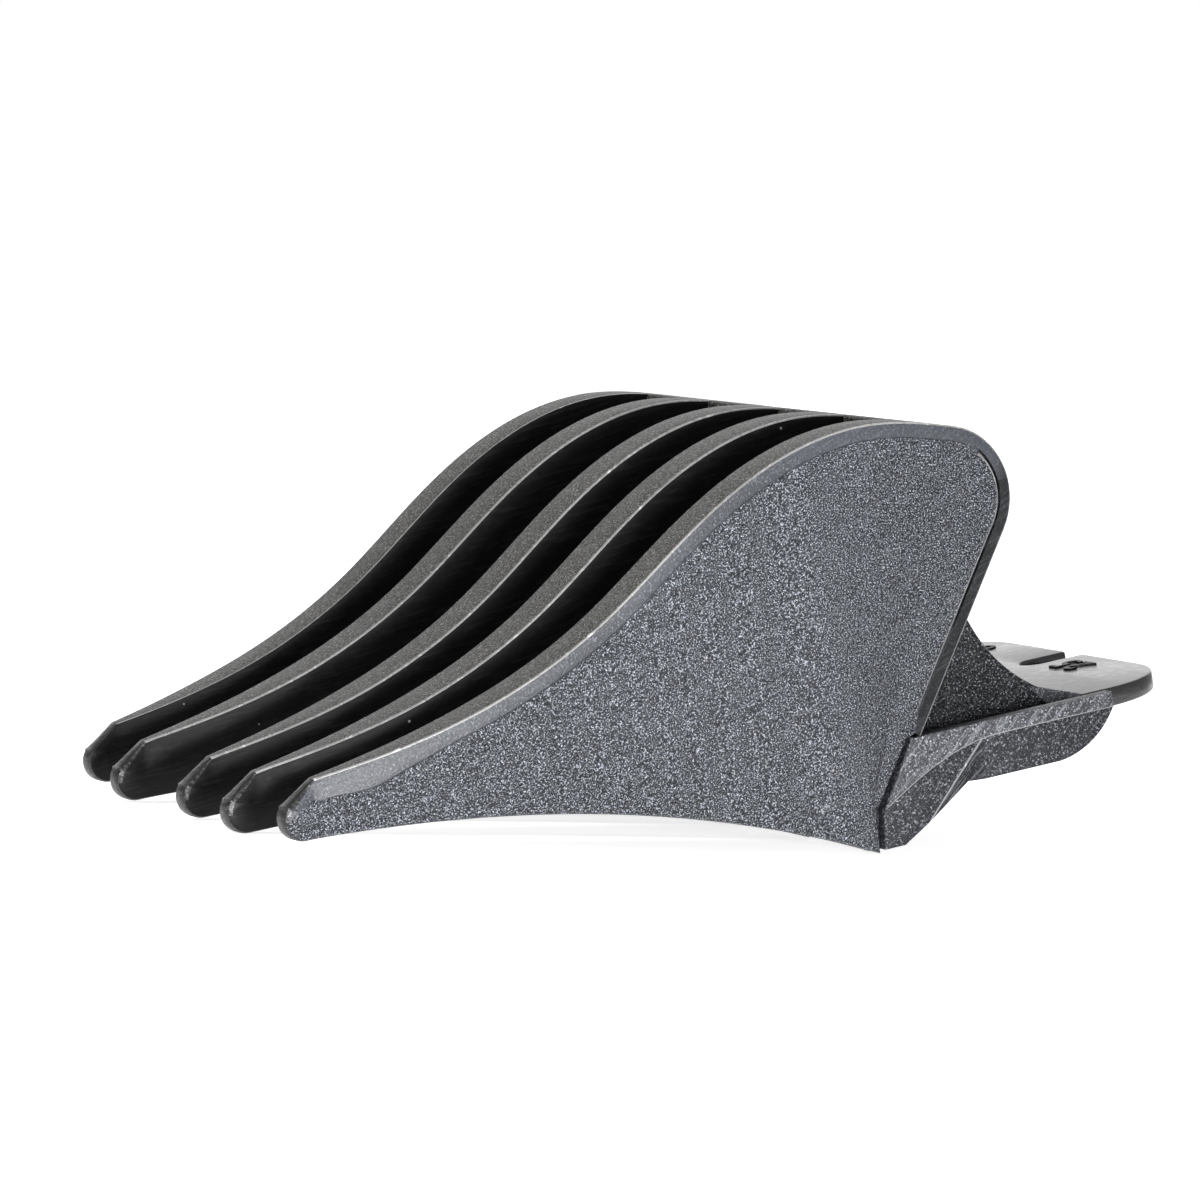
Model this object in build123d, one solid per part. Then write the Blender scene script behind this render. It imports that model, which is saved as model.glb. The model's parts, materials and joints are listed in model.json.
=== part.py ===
"""Slide-on guide comb for a hair clipper: a one-piece moulding, built as its named regions.

Everything is drawn in the blade frame: X runs from the tooth tips to the tongue, Z is square to
the blade seat, and the origin is the top corner of the tooth tips.  At the end the whole comb is
turned onto its noses and heels, the way it stands on a table with the skin side up, and the
origin moves to the middle of its footprint.
"""

import os
from math import asin, atan2, cos, degrees, hypot, pi, radians, sin

from build123d import *

# ---- driving dimensions, millimetres -------------------------------------------------------
TOOTH_THICK = 3.9            # full thickness of a tooth plate
NOSE_THICK = 1.9             # thickness of a tooth at its nose
TAPER_END = 15.0             # x where a tooth reaches its full thickness
TIP_Y = (-19.5, -11.0, -1.5, 11.5, 20.6)     # tooth middles at the tips
ROOT_Y = (-22.35, -11.0, -0.3, 11.6, 22.35)  # tooth middles where they join the body
SETBACK = (0.4, -0.5, 0.0, 0.0, 1.5)         # how far each nose is set back from the common line
TIP_SLOPE = 0.14             # slope of the skin edge at the tips
ROOT_X = 46.0                # x from which the teeth run straight
SKIN_POINTS = ((8.0, 1.35), (16.0, 3.6), (24.0, 7.4), (32.0, 12.75), (40.0, 16.7), (47.5, 17.85))
NOSE_CENTRE = (-1.25, -2.75)
NOSE_RADIUS = 1.65
HEEL = (43.75, -14.45)       # lowest rear corner of the teeth
HAIR_MIDDLE = (20.9, -6.65)  # a point on the arched hair-side edge

CROWN_CENTRE = (53.4, 10.95)  # rounded rear top corner
CROWN_RADIUS = 5.65
CROWN_ENTRY = 17.0           # degrees from vertical where the skin edge meets the crown
REAR_LEAN = 56.0             # degrees of the rear panel from the blade seat
WALL = 1.1                   # crown and rear panel thickness
CROWN_START = 51.5           # x where the hair gaps end under the crown
HEEL_TOP = -10.9             # z where the rear edge of a tooth turns vertical

DECK_TOP = -7.5
DECK_THICK = 1.5
DECK_REAR = 66.7
BAR_REAR = 49.0              # rear face of the bar under the rear panel
BODY_HALF = 17.0             # half width of the swept body and of the tongue
SIDE_WALL = 1.2
SWEEP_POINTS = ((56.9, 6.2), (60.4, -3.9), (66.3, -7.5))

RAIL_OUT = 24.0              # outer face of the rail walls, from the middle
RAIL_THICK = 1.0
BAND_PROUD = 0.3
RAIL_TOP = -6.35
RAIL_BOTTOM = -10.75
RAIL_REAR = 65.5
RAIL_GAP = 0.5               # groove between a side tooth and its rail
BAND_HEIGHT = 1.2

TONGUE_FRONT = 67.1
TONGUE_REAR = 76.3
TONGUE_CORNER = 7.0
SLOT_WIDTH = 2.5
SLOT_END = 71.3
RIDGE_X = 74.4
RIDGE_RADIUS = 0.7
RIDGE_Y = (4.0, 12.0)
MARK_HEIGHT = 0.25
MARK_SIZE = 3.6

# ---- worked out from them ------------------------------------------------------------------
SIDE_FACE = abs(ROOT_Y[0]) + TOOTH_THICK / 2     # outer face of the side teeth
SIDE_INNER = abs(ROOT_Y[0]) - TOOTH_THICK / 2    # inner face of the side teeth
RAIL_IN = RAIL_OUT - RAIL_THICK
DECK_BOTTOM = DECK_TOP - DECK_THICK
lean = radians(REAR_LEAN)
entry = radians(CROWN_ENTRY)
CROWN_IN = (CROWN_CENTRE[0] + CROWN_RADIUS * sin(entry), CROWN_CENTRE[1] + CROWN_RADIUS * cos(entry))
CROWN_OUT = (CROWN_CENTRE[0] + CROWN_RADIUS * sin(lean), CROWN_CENTRE[1] - CROWN_RADIUS * cos(lean))
CROWN_SIDE = (CROWN_CENTRE[0] + CROWN_RADIUS, CROWN_CENTRE[1])
FAR = 100.0


def rear_x(z, inside=0.0):
    """x of the rear panel's outer face at height z, or of a plane that far inside it."""
    return CROWN_OUT[0] + (z - CROWN_OUT[1]) * cos(lean) / sin(lean) - inside / sin(lean)


def side_face(*edges):
    """A closed face in the XZ plane from edges drawn in (x, z)."""
    return Plane.XZ * make_face(edges)


def slab(face, low, high):
    """The face, drawn in XZ, extruded from y = low to y = high."""
    return Pos(0, high, 0) * extrude(face, amount=high - low, dir=(0, -1, 0))


def polygon(*points):
    """A face in the XZ plane from (x, z) corners."""
    return side_face(Polyline(*points, close=True))


def outline(setback=0.0):
    """Side view of a tooth out to the rear panel's outer face, with its nose set back along the skin."""
    tip = (setback, TIP_SLOPE * setback)
    centre = (NOSE_CENTRE[0] + tip[0], NOSE_CENTRE[1] + tip[1])
    nose_top = (centre[0] - 1.1, centre[1] + 1.23)
    nose_left = (centre[0] - NOSE_RADIUS, centre[1])
    nose_low = (centre[0] + 0.1, centre[1] - NOSE_RADIUS)
    skin = Spline(tip, *SKIN_POINTS, CROWN_IN, tangents=((1, TIP_SLOPE), (cos(entry), -sin(entry))))
    return side_face(
        Line(nose_top, tip),
        skin,
        ThreePointArc(CROWN_IN, CROWN_SIDE, CROWN_OUT),
        Line(CROWN_OUT, (rear_x(HEEL_TOP), HEEL_TOP)),
        Line((rear_x(HEEL_TOP), HEEL_TOP), (rear_x(HEEL_TOP), HEEL[1])),
        Line((rear_x(HEEL_TOP), HEEL[1]), HEEL),
        ThreePointArc(HEEL, HAIR_MIDDLE, nose_low),
        ThreePointArc(nose_low, nose_left, nose_top),
    )


def wall_section(full):
    """Section of the crown and rear panel: a band of WALL along the rear of the outline."""
    radius = CROWN_RADIUS - WALL
    start = (CROWN_CENTRE[0] + radius * sin(entry), CROWN_CENTRE[1] + radius * cos(entry))
    side = (CROWN_CENTRE[0] + radius, CROWN_CENTRE[1])
    end = (CROWN_CENTRE[0] + radius * sin(lean), CROWN_CENTRE[1] - radius * cos(lean))
    ahead = (CROWN_START, start[1] + (start[0] - CROWN_START) * sin(entry) / cos(entry))
    inside = side_face(
        Polyline((rear_x(-FAR, WALL), -FAR), (-FAR, -FAR), (-FAR, FAR), (CROWN_START, FAR), ahead, start),
        ThreePointArc(start, side, end),
        Line(end, (rear_x(-FAR, WALL), -FAR)),
    )
    below_deck = polygon((0, -FAR), (FAR, -FAR), (FAR, DECK_TOP), (0, DECK_TOP))
    return full - inside - below_deck


def heel_relief(top):
    """What is taken off the rear of a tooth below the height top, down to the heel."""
    inner = rear_x(HEEL_TOP, WALL)
    return polygon(
        (rear_x(top, WALL), top),
        (inner, HEEL_TOP),
        (HEEL[0], HEEL_TOP),
        (HEEL[0], HEEL[1] - 5),
        (FAR, HEEL[1] - 5),
        (FAR, top),
    )


def plan(index):
    """Top view of tooth index: its middle eases from tip to root, and it thickens from the nose."""
    def middle(x):
        ease = sin(pi / 2 * min(max(x / ROOT_X, 0.0), 1.0))
        return TIP_Y[index] + (ROOT_Y[index] - TIP_Y[index]) * ease

    def half(x):
        ease = sin(pi / 2 * min(max(x / TAPER_END, 0.0), 1.0))
        return (NOSE_THICK + (TOOTH_THICK - NOSE_THICK) * ease) / 2

    stations = (-4.0, 0.0, 5.0, 10.0, TAPER_END, 24.0, 35.0, ROOT_X)
    right = [(x, middle(x) - half(x)) for x in stations]
    left = [(x, middle(x) + half(x)) for x in stations]
    sketch = make_face([
        Spline(*right, tangents=((1, 0), (1, 0))),
        Polyline(right[-1], (FAR, right[-1][1]), (FAR, left[-1][1]), left[-1]),
        Spline(*left, tangents=((1, 0), (1, 0))),
        Line(left[0], right[0]),
    ])
    return Pos(0, 0, -FAR) * extrude(sketch, amount=2 * FAR)


def tooth(index, wall):
    """One tooth plate; the two side teeth also carry the rounded rear corner out to its edge."""
    is_side = index in (0, len(TIP_Y) - 1)
    full = outline(SETBACK[index])
    face = full - heel_relief(RAIL_TOP) if is_side else full - wall - heel_relief(DECK_TOP)
    return slab(face, -FAR, FAR) & plan(index)


def sweep_sections():
    """Side wall section under the swept back, and the section of the swept sheet itself."""
    (x1, z1), (x2, z2), (x3, z3) = SWEEP_POINTS
    arc = ThreePointArc((rear_x(z1), z1), (x2, z2), (x3, z3))
    whole = side_face(
        arc,
        Line((x3, z3), (rear_x(DECK_TOP), DECK_TOP)),
        Line((rear_x(DECK_TOP), DECK_TOP), (rear_x(z1), z1)),
    )
    centre = arc.arc_center
    hollow = whole - Plane.XZ * (Pos(centre.X, centre.Y) * Circle(arc.radius + SIDE_WALL))
    return whole, whole - hollow


def rail_parts():
    """Side view of the rail wall, and of the raised band along its top."""
    front_top = (rear_x(RAIL_TOP, WALL) + RAIL_GAP, RAIL_TOP)
    front_low = (HEEL[0] + RAIL_GAP + 0.35, HEEL_TOP - 0.4)
    heel_front = (HEEL[0] + RAIL_GAP, HEEL[1] + 0.15)
    heel_rear = (HEEL[0] + 2.3, HEEL[1] + 0.15)
    knee = (52.4, RAIL_BOTTOM)
    wall = side_face(
        Polyline(front_top, front_low, heel_front, heel_rear, knee, (60.3, RAIL_BOTTOM)),
        ThreePointArc((60.3, RAIL_BOTTOM), (63.3, -9.7), (RAIL_REAR, -7.1)),
        Polyline((RAIL_REAR, -7.1), (RAIL_REAR, RAIL_TOP), front_top),
    )
    band_low = RAIL_TOP - BAND_HEIGHT
    band = side_face(
        Line(front_top, front_low),
        Spline(front_low, (49.8, -8.7), (55.4, band_low), tangents=((1, 0.55), (1, 0))),
        Polyline((55.4, band_low), (RAIL_REAR, band_low), (RAIL_REAR, RAIL_TOP), front_top),
    )
    return wall, band


def tongue_outline():
    """Top view of the tongue, with its rounded corners and its open slot."""
    length = TONGUE_REAR - TONGUE_FRONT
    blank = Pos(TONGUE_FRONT + length / 2, 0) * Rectangle(length, 2 * BODY_HALF)
    rear = blank.vertices().sort_by(Axis.X)[-2:]
    blank = fillet(rear, TONGUE_CORNER)
    slot_centre = SLOT_END + SLOT_WIDTH / 2
    run = TONGUE_REAR - slot_centre + 1
    slot = Pos(slot_centre, 0) * Circle(SLOT_WIDTH / 2)
    slot += Pos(slot_centre + run / 2, 0) * Rectangle(run, SLOT_WIDTH)
    return blank - slot


def tongue_piece(low_x, high_x, low_y, high_y):
    """The part of the tongue plate between the given limits."""
    window = Pos((low_x + high_x) / 2, (low_y + high_y) / 2) * Rectangle(high_x - low_x, high_y - low_y)
    return Pos(0, 0, DECK_BOTTOM) * extrude(tongue_outline() & window, amount=DECK_THICK)


def size_mark(text, x, y):
    """Raised numerals on top of the tongue, read from the rear, built from straight bars."""
    digit_wide = MARK_SIZE * 0.55
    stroke = MARK_SIZE * 0.14
    half_high = MARK_SIZE / 2
    bars = {
        "top": (0, half_high, digit_wide, stroke),
        "middle": (0, 0, digit_wide, stroke),
        "bottom": (0, -half_high, digit_wide, stroke),
        "upper_left": (-digit_wide / 2, half_high / 2, stroke, half_high + stroke),
        "upper_right": (digit_wide / 2, half_high / 2, stroke, half_high + stroke),
        "lower_left": (-digit_wide / 2, -half_high / 2, stroke, half_high + stroke),
        "lower_right": (digit_wide / 2, -half_high / 2, stroke, half_high + stroke),
    }
    left_out = {"2": ("upper_left", "lower_right"), "5": ("upper_right", "lower_left"), "8": ()}
    pitch = digit_wide * 1.5
    sketch = Sketch()
    for place, digit in enumerate(text):
        across = (place - (len(text) - 1) / 2) * pitch
        for name, (u, v, wide, high) in bars.items():
            if name not in left_out[digit]:
                sketch += Pos(across + u, v) * Rectangle(wide, high)
    return Pos(x, y, DECK_TOP) * Rot(0, 0, 90) * extrude(sketch, amount=MARK_HEIGHT)


def build():
    """Every region of the comb by name, in the blade frame."""
    wall = wall_section(outline())
    crown_zone = polygon(
        (0, CROWN_OUT[1] + FAR * cos(lean)),
        (CROWN_OUT[0] - FAR * sin(lean), CROWN_OUT[1] + FAR * cos(lean)),
        CROWN_OUT,
        (FAR, CROWN_OUT[1]),
        (FAR, FAR),
        (0, FAR),
    )
    nodes = {f"tooth_{i + 1}": tooth(i, wall) for i in range(len(TIP_Y))}
    nodes["crown"] = slab(wall & crown_zone, -SIDE_INNER, SIDE_INNER)
    nodes["rear_panel"] = slab(wall - crown_zone, -SIDE_INNER, SIDE_INNER)

    bar = polygon(
        (rear_x(DECK_TOP, WALL), DECK_TOP),
        (BAR_REAR, DECK_TOP),
        (BAR_REAR, DECK_BOTTOM),
        (rear_x(DECK_BOTTOM, WALL), DECK_BOTTOM),
    )
    nodes["front_bar"] = slab(bar, -RAIL_IN, RAIL_IN)

    side_section, sheet_section = sweep_sections()
    inner = BODY_HALF - SIDE_WALL
    nodes["back_sweep"] = slab(sheet_section, -inner, inner)
    ledge = polygon((BAR_REAR, DECK_TOP), (DECK_REAR, DECK_TOP), (DECK_REAR, DECK_BOTTOM), (BAR_REAR, DECK_BOTTOM))
    root_front = SWEEP_POINTS[-1][0] - 3.3
    root = polygon((root_front, DECK_TOP), (DECK_REAR, DECK_TOP), (DECK_REAR, DECK_BOTTOM), (root_front, DECK_BOTTOM))
    nodes["tongue_root"] = slab(root, -inner, inner)
    rail_wall, rail_band = rail_parts()
    for name, sign in (("right", -1), ("left", 1)):
        def between(face, a, b):
            return slab(face, min(sign * a, sign * b), max(sign * a, sign * b))
        nodes[f"body_side_{name}"] = between(side_section, inner, BODY_HALF)
        nodes[f"ledge_{name}"] = between(ledge, inner, RAIL_IN)
        nodes[f"rail_{name}"] = between(rail_wall, RAIL_IN, RAIL_OUT)
        nodes[f"rail_band_{name}"] = between(rail_band, RAIL_OUT, RAIL_OUT + BAND_PROUD)
        low_y, high_y = sorted((0, sign * BODY_HALF))
        nodes[f"finger_{name}"] = tongue_piece(SLOT_END, TONGUE_REAR, low_y, high_y)
        ridge = Pos(RIDGE_X, sign * sum(RIDGE_Y) / 2, DECK_BOTTOM) * Rot(90, 0, 0) * Cylinder(
            RIDGE_RADIUS, RIDGE_Y[1] - RIDGE_Y[0])
        nodes[f"snap_ridge_{name}"] = ridge - Pos(RIDGE_X, 0, DECK_BOTTOM + 5) * Box(10, 60, 10)
    nodes["tongue_plate"] = tongue_piece(TONGUE_FRONT, SLOT_END, -BODY_HALF, BODY_HALF)
    nodes["size_mark_length"] = size_mark("25", 73.2, -5.0)
    nodes["size_mark_number"] = size_mark("8", 73.4, 10.0)
    return nodes


def rest_tilt():
    """Degrees that turn the line under the noses and heels level."""
    dx = HEEL[0] - NOSE_CENTRE[0]
    dz = HEEL[1] - NOSE_CENTRE[1]
    return degrees(atan2(dz, dx) + asin(NOSE_RADIUS / hypot(dx, dz)))


def main():
    """Builds the regions, stands the comb up and writes one STEP per region."""
    os.makedirs("parts", exist_ok=True)
    turn = Rot(0, rest_tilt(), 0)
    placed = {name: turn * shape for name, shape in build().items()}
    box = Compound([solid for shape in placed.values() for solid in shape.solids()]).bounding_box()
    shift = Pos(-(box.min.X + box.max.X) / 2, 0, -box.min.Z)
    print("tilt", round(rest_tilt(), 3), "size", box.size, "shift", shift.position)
    for name, shape in placed.items():
        export_step(shift * shape, f"parts/{name}.step")


main()
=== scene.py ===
"""Looks of a slide-on guide comb for a hair clipper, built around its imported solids.

Shapes are drawn in millimetres in the blade frame: X runs from the tooth tips to the tongue, Z is
square to the blade seat, and the origin is the top corner of the tooth tips.  One matrix, read from
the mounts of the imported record, carries every finished mesh into the row frame in metres.
"""

import json
import logging
from dataclasses import dataclass, field, replace
from enum import Enum, IntEnum
from math import atan2, cos, degrees, dist, hypot, pi, radians, sin, sqrt, tan
from typing import Callable, Iterable, Sequence

import bmesh
import bpy
import numpy as np
from mathutils import Matrix, Vector


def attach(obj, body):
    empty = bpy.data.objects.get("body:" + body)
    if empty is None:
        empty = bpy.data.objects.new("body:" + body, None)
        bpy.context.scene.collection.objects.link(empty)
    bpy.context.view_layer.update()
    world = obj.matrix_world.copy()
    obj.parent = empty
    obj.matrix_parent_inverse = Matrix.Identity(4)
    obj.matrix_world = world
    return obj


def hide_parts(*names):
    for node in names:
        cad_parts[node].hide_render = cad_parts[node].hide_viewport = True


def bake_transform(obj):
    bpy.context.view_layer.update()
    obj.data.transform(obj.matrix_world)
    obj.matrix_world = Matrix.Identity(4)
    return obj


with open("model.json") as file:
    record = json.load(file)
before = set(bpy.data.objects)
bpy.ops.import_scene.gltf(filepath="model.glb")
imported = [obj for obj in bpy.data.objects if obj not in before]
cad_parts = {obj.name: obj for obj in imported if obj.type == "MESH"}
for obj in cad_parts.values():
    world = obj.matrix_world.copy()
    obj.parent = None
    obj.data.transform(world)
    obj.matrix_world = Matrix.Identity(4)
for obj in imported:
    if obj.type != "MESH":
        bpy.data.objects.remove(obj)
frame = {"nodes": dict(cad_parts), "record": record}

LOG = logging.getLogger("guide_comb")
MM = 0.001
SHARP_ANGLE = radians(32)
FILLET_MIDDLE = 0.293  # how far a fillet's middle stands in from both its faces, over its radius
DEEP_TONE = 0.72
STREAK_COLOUR = (0.16, 0.165, 0.18, 1.0)
# Painted shade: colours darken towards this near and behind the rear panel's plane.
SHADE_COLOUR = (0.004, 0.004, 0.0045, 1.0)
SHADE_START, SHADE_END = 3.4, 1.3  # millimetres in front of the rear panel's plane
DUST_COLOUR = (0.55, 0.54, 0.52, 1.0)
DUST_SHARE = 0.35
PIT_LOW, PIT_HIGH = 0.1, 0.6
PLASTIC_IOR = 1.52
FONT_SIZE = 1.35  # the font's size over the height of its numerals

Pair = tuple[float, float]


class Body(Enum):
    """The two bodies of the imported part."""

    COMB = "comb"
    TONGUE = "tongue"


class Slot(Enum):
    """The record's material slots."""

    TEXTURED = "textured_plastic"
    SATIN = "satin_plastic"
    POLISHED = "polished_plastic"


class Side(IntEnum):
    """Which side of the comb a piece is on, as the sign of its Y."""

    RIGHT = -1
    LEFT = 1

    @property
    def label(self) -> str:
        """The side's name as the pieces use it."""
        return self.name.lower()


# ---- curves in the side view ---------------------------------------------------------------


def spline_through(points: Sequence[Pair], start: Pair, end: Pair, per_span: int) -> list[Pair]:
    """Samples the smooth cubic curve through some points.

    Args:
        points: what the curve passes through, in order.
        start: its direction at the first point.
        end: its direction at the last point.
        per_span: how many pieces each span is cut into.

    Returns:
        The sampled points, both ends included.
    """
    spots = np.array(points, float)
    gaps = np.linalg.norm(np.diff(spots, axis=0), axis=1)
    count = len(spots)
    system = np.eye(count)
    wanted = np.zeros((count, 2))
    wanted[0] = np.array(start) / hypot(*start)
    wanted[-1] = np.array(end) / hypot(*end)
    for i in range(1, count - 1):
        before, after = gaps[i - 1], gaps[i]
        system[i, i - 1 : i + 2] = after, 2 * (before + after), before
        rise = after / before * (spots[i] - spots[i - 1]) + before / after * (spots[i + 1] - spots[i])
        wanted[i] = 3 * rise
    slopes = np.linalg.solve(system, wanted)
    found = [points[0]]
    for i, gap in enumerate(gaps):
        for step in range(1, per_span + 1):
            t = step / per_span
            here = (2 * t**3 - 3 * t**2 + 1) * spots[i] + (t**3 - 2 * t**2 + t) * gap * slopes[i]
            ahead = (3 * t**2 - 2 * t**3) * spots[i + 1] + (t**3 - t**2) * gap * slopes[i + 1]
            found.append(tuple(float(v) for v in here + ahead))
    return found


def circle_through(a: Pair, b: Pair, c: Pair) -> tuple[Pair, float]:
    """The centre and radius of the circle through three points.

    Args:
        a: the first point.
        b: the second point.
        c: the third point.

    Returns:
        The centre and the radius.
    """
    ax, az = a[0] - c[0], a[1] - c[1]
    bx, bz = b[0] - c[0], b[1] - c[1]
    double = 2 * (ax * bz - az * bx)
    x = (bz * (ax * ax + az * az) - az * (bx * bx + bz * bz)) / double
    z = (ax * (bx * bx + bz * bz) - bx * (ax * ax + az * az)) / double
    return (x + c[0], z + c[1]), hypot(x, z)


def arc(centre: Pair, radius: float, start: float, end: float, count: int) -> list[Pair]:
    """Points on an arc, from one angle to another in radians, both ends included."""
    turns = (start + (end - start) * i / count for i in range(count + 1))
    return [(centre[0] + radius * cos(t), centre[1] + radius * sin(t)) for t in turns]


def line(a: Pair, b: Pair, count: int) -> list[Pair]:
    """Evenly spaced points on a line, both ends included."""
    return [(a[0] + (b[0] - a[0]) * i / count, a[1] + (b[1] - a[1]) * i / count) for i in range(count + 1)]


def spread(points: Sequence[Pair], count: int) -> list[Pair]:
    """The same path with count points, evenly spaced along it.

    Args:
        points: the path.
        count: how many points to give back.

    Returns:
        The points, with both ends of the path.
    """
    spots = np.array(points, float)
    along = np.concatenate([[0.0], np.cumsum(np.linalg.norm(np.diff(spots, axis=0), axis=1))])
    wanted = np.linspace(0, along[-1], count)
    return [
        (float(np.interp(s, along, spots[:, 0])), float(np.interp(s, along, spots[:, 1])))
        for s in wanted
    ]


def inward(points: Sequence[Pair], before: Pair | None, after: Pair | None, right_hand: bool) -> list[Pair]:
    """Mitred normals along a path, pointing into the plate.

    Args:
        points: the path.
        before: the point that comes before the first one, if the outline goes on there.
        after: the point that comes after the last one, if the outline goes on there.
        right_hand: True where the plate lies to the right of the path.

    Returns:
        One normal per point, lengthened at corners so that offsets stay parallel.
    """
    chain = [before or points[0], *points, after or points[-1]]
    sign = 1 if right_hand else -1
    normals = []
    for a, b, c in zip(chain, chain[1:], chain[2:]):
        sides = []
        for p, q in ((a, b), (b, c)):
            length = dist(p, q)
            if length > 1e-6:
                sides.append(Vector((sign * (q[1] - p[1]) / length, -sign * (q[0] - p[0]) / length)))
        middle = sum(sides, Vector((0, 0))).normalized()
        normals.append(tuple(middle / max(middle.dot(sides[0]), 0.6)))
    return normals


def ease(value: float) -> float:
    """0 to 1 with level ends, clamped outside."""
    value = min(max(value, 0.0), 1.0)
    return value * value * (3 - 2 * value)


# ---- the comb's side view --------------------------------------------------------------------


@dataclass(frozen=True)
class Profile:
    """The comb's side view: every driving size of its outline, and the curves that they give."""

    skin: tuple[Pair, ...] = ((8, 1.35), (16, 3.6), (24, 7.4), (32, 12.75), (40, 16.7), (47.5, 17.85))
    setback: float = 0.0
    tip_slope: float = 0.14
    nose_middle: Pair = (-1.25, -2.75)
    nose_radius: float = 1.65
    slope_angle: float = radians(131.8)
    nose_low_angle: float = radians(273.5)
    hair_middle: Pair = (20.9, -6.65)
    heel: Pair = (43.75, -14.45)
    heel_top: float = -10.9
    crown_centre: Pair = (53.4, 10.95)
    crown_radius: float = 5.65
    crown_entry: float = radians(17)
    lean: float = radians(56)
    wall: float = 1.1
    crown_start: float = 51.5
    deck_top: float = -7.5
    deck_thick: float = 1.5
    rail_top: float = -6.35

    @property
    def tip(self) -> Pair:
        """The top corner of the tooth's tip."""
        return self.setback, self.setback * self.tip_slope

    @property
    def nose_centre(self) -> Pair:
        """The middle of the rounded nose."""
        return self.nose_middle[0] + self.tip[0], self.nose_middle[1] + self.tip[1]

    @property
    def crown_in(self) -> Pair:
        """Where the skin edge runs into the crown."""
        return self.on_crown(pi / 2 - self.crown_entry)

    @property
    def crown_out(self) -> Pair:
        """Where the crown runs into the rear panel."""
        return self.on_crown(self.lean - pi / 2)

    def on_crown(self, angle: float, inside: float = 0.0) -> Pair:
        """The crown's point at an angle from +X, or one that far inside it."""
        reach = self.crown_radius - inside
        return self.crown_centre[0] + reach * cos(angle), self.crown_centre[1] + reach * sin(angle)

    def rear_x(self, z: float, inside: float = 0.0) -> float:
        """x of the rear panel's outer face at a height, or of a plane that far inside it."""
        x, top = self.crown_out
        return x + (z - top) / tan(self.lean) - inside / sin(self.lean)

    def skin_curve(self, per_span: int = 9) -> list[Pair]:
        """The skin edge, from the tip corner to the crown."""
        ahead = (cos(self.crown_entry), -sin(self.crown_entry))
        return spline_through((self.tip, *self.skin, self.crown_in), (1, self.tip_slope), ahead, per_span)

    def skin_z(self, x: float) -> float:
        """Height of the skin edge at x."""
        xs, zs = zip(*self.skin_curve())
        return float(np.interp(x, xs, zs))

    def crown_arc(self, count: int = 16, inside: float = 0.0) -> list[Pair]:
        """The crown, from the skin edge to the rear panel."""
        start, end = pi / 2 - self.crown_entry, self.lean - pi / 2
        return arc(self.crown_centre, self.crown_radius - inside, start, end, count)

    def hair_z(self, x: float) -> float:
        """Height of the arched hair-side edge at x.

        Args:
            x: where along the comb.

        Returns:
            The height there.
        """
        low = arc(self.nose_centre, self.nose_radius, self.nose_low_angle, self.nose_low_angle, 1)[0]
        (cx, cz), radius = circle_through(low, self.hair_middle, self.heel)
        return cz + sqrt(radius**2 - (x - cx) ** 2)


@dataclass(frozen=True)
class Plan:
    """How the tooth plates stand in the top view: they fan out and thicken from the nose."""

    tip_y: tuple[float, ...] = (-19.5, -11.0, -1.5, 11.5, 20.6)
    root_y: tuple[float, ...] = (-22.35, -11.0, -0.3, 11.6, 22.35)
    setbacks: tuple[float, ...] = (0.4, -0.5, 0.0, 0.0, 1.5)
    root_x: float = 46.0
    taper_end: float = 15.0
    nose_thick: float = 1.9
    tooth_thick: float = 3.9

    def middle(self, index: int, x: float) -> float:
        """y of a tooth's middle at x."""
        share = sin(pi / 2 * min(max(x / self.root_x, 0.0), 1.0))
        return self.tip_y[index] + (self.root_y[index] - self.tip_y[index]) * share

    def half(self, x: float) -> float:
        """Half the thickness of a tooth at x."""
        share = sin(pi / 2 * min(max(x / self.taper_end, 0.0), 1.0))
        return (self.nose_thick + (self.tooth_thick - self.nose_thick) * share) / 2

    @property
    def side_inner(self) -> float:
        """Distance from the middle to the side teeth's inner faces."""
        return abs(self.root_y[0]) - self.tooth_thick / 2


# ---- mesh work ---------------------------------------------------------------------------------


def sweep_ring(bm: bmesh.types.BMesh, rings: Sequence[Sequence[Vector]], tags: Sequence[int]) -> None:
    """Extrudes a closed ring of vertices through a row of places.

    Args:
        bm: the mesh to build in.
        rings: the ring's vertices at each place, the same count each time.
        tags: the material index of the faces behind each edge of the ring.
    """
    verts = [bm.verts.new(place) for place in rings[0]]
    edges = [bm.edges.new((verts[i], verts[(i + 1) % len(verts)])) for i in range(len(verts))]
    for ring in rings[1:]:
        made = bmesh.ops.extrude_edge_only(bm, edges=edges)["geom"]
        fresh = {v for v in made if isinstance(v, bmesh.types.BMVert)}
        following = [next(e.other_vert(v) for e in v.link_edges if e.other_vert(v) in fresh) for v in verts]
        for vert, place in zip(following, ring):
            vert.co = place
        laid = [bm.edges.get(ends) for ends in zip(following, [*following[1:], following[0]])]
        for before, edge, tag in zip(edges, laid, tags):
            face = next(f for f in before.link_faces if edge in f.edges)
            face.material_index = tag
        verts, edges = following, laid


def plate(
    bm: bmesh.types.BMesh, outline: Sequence[Pair], low: float, high: float
) -> list[bmesh.types.BMFace]:
    """Draws an outline in the side view and extrudes it across the comb.

    Args:
        bm: the mesh to build in.
        outline: the (x, z) corners.
        low: y where it starts.
        high: y where it ends.

    Returns:
        The two flat faces.
    """
    verts = [bm.verts.new((x, low, z)) for x, z in outline]
    face = bm.faces.new(verts)
    made = bmesh.ops.extrude_face_region(bm, geom=[face], use_keep_orig=True)["geom"]
    moved = [g for g in made if isinstance(g, bmesh.types.BMVert)]
    bmesh.ops.translate(bm, verts=moved, vec=(0, high - low, 0))
    return [face, *(g for g in made if isinstance(g, bmesh.types.BMFace) and len(g.verts) == len(verts))]


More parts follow.
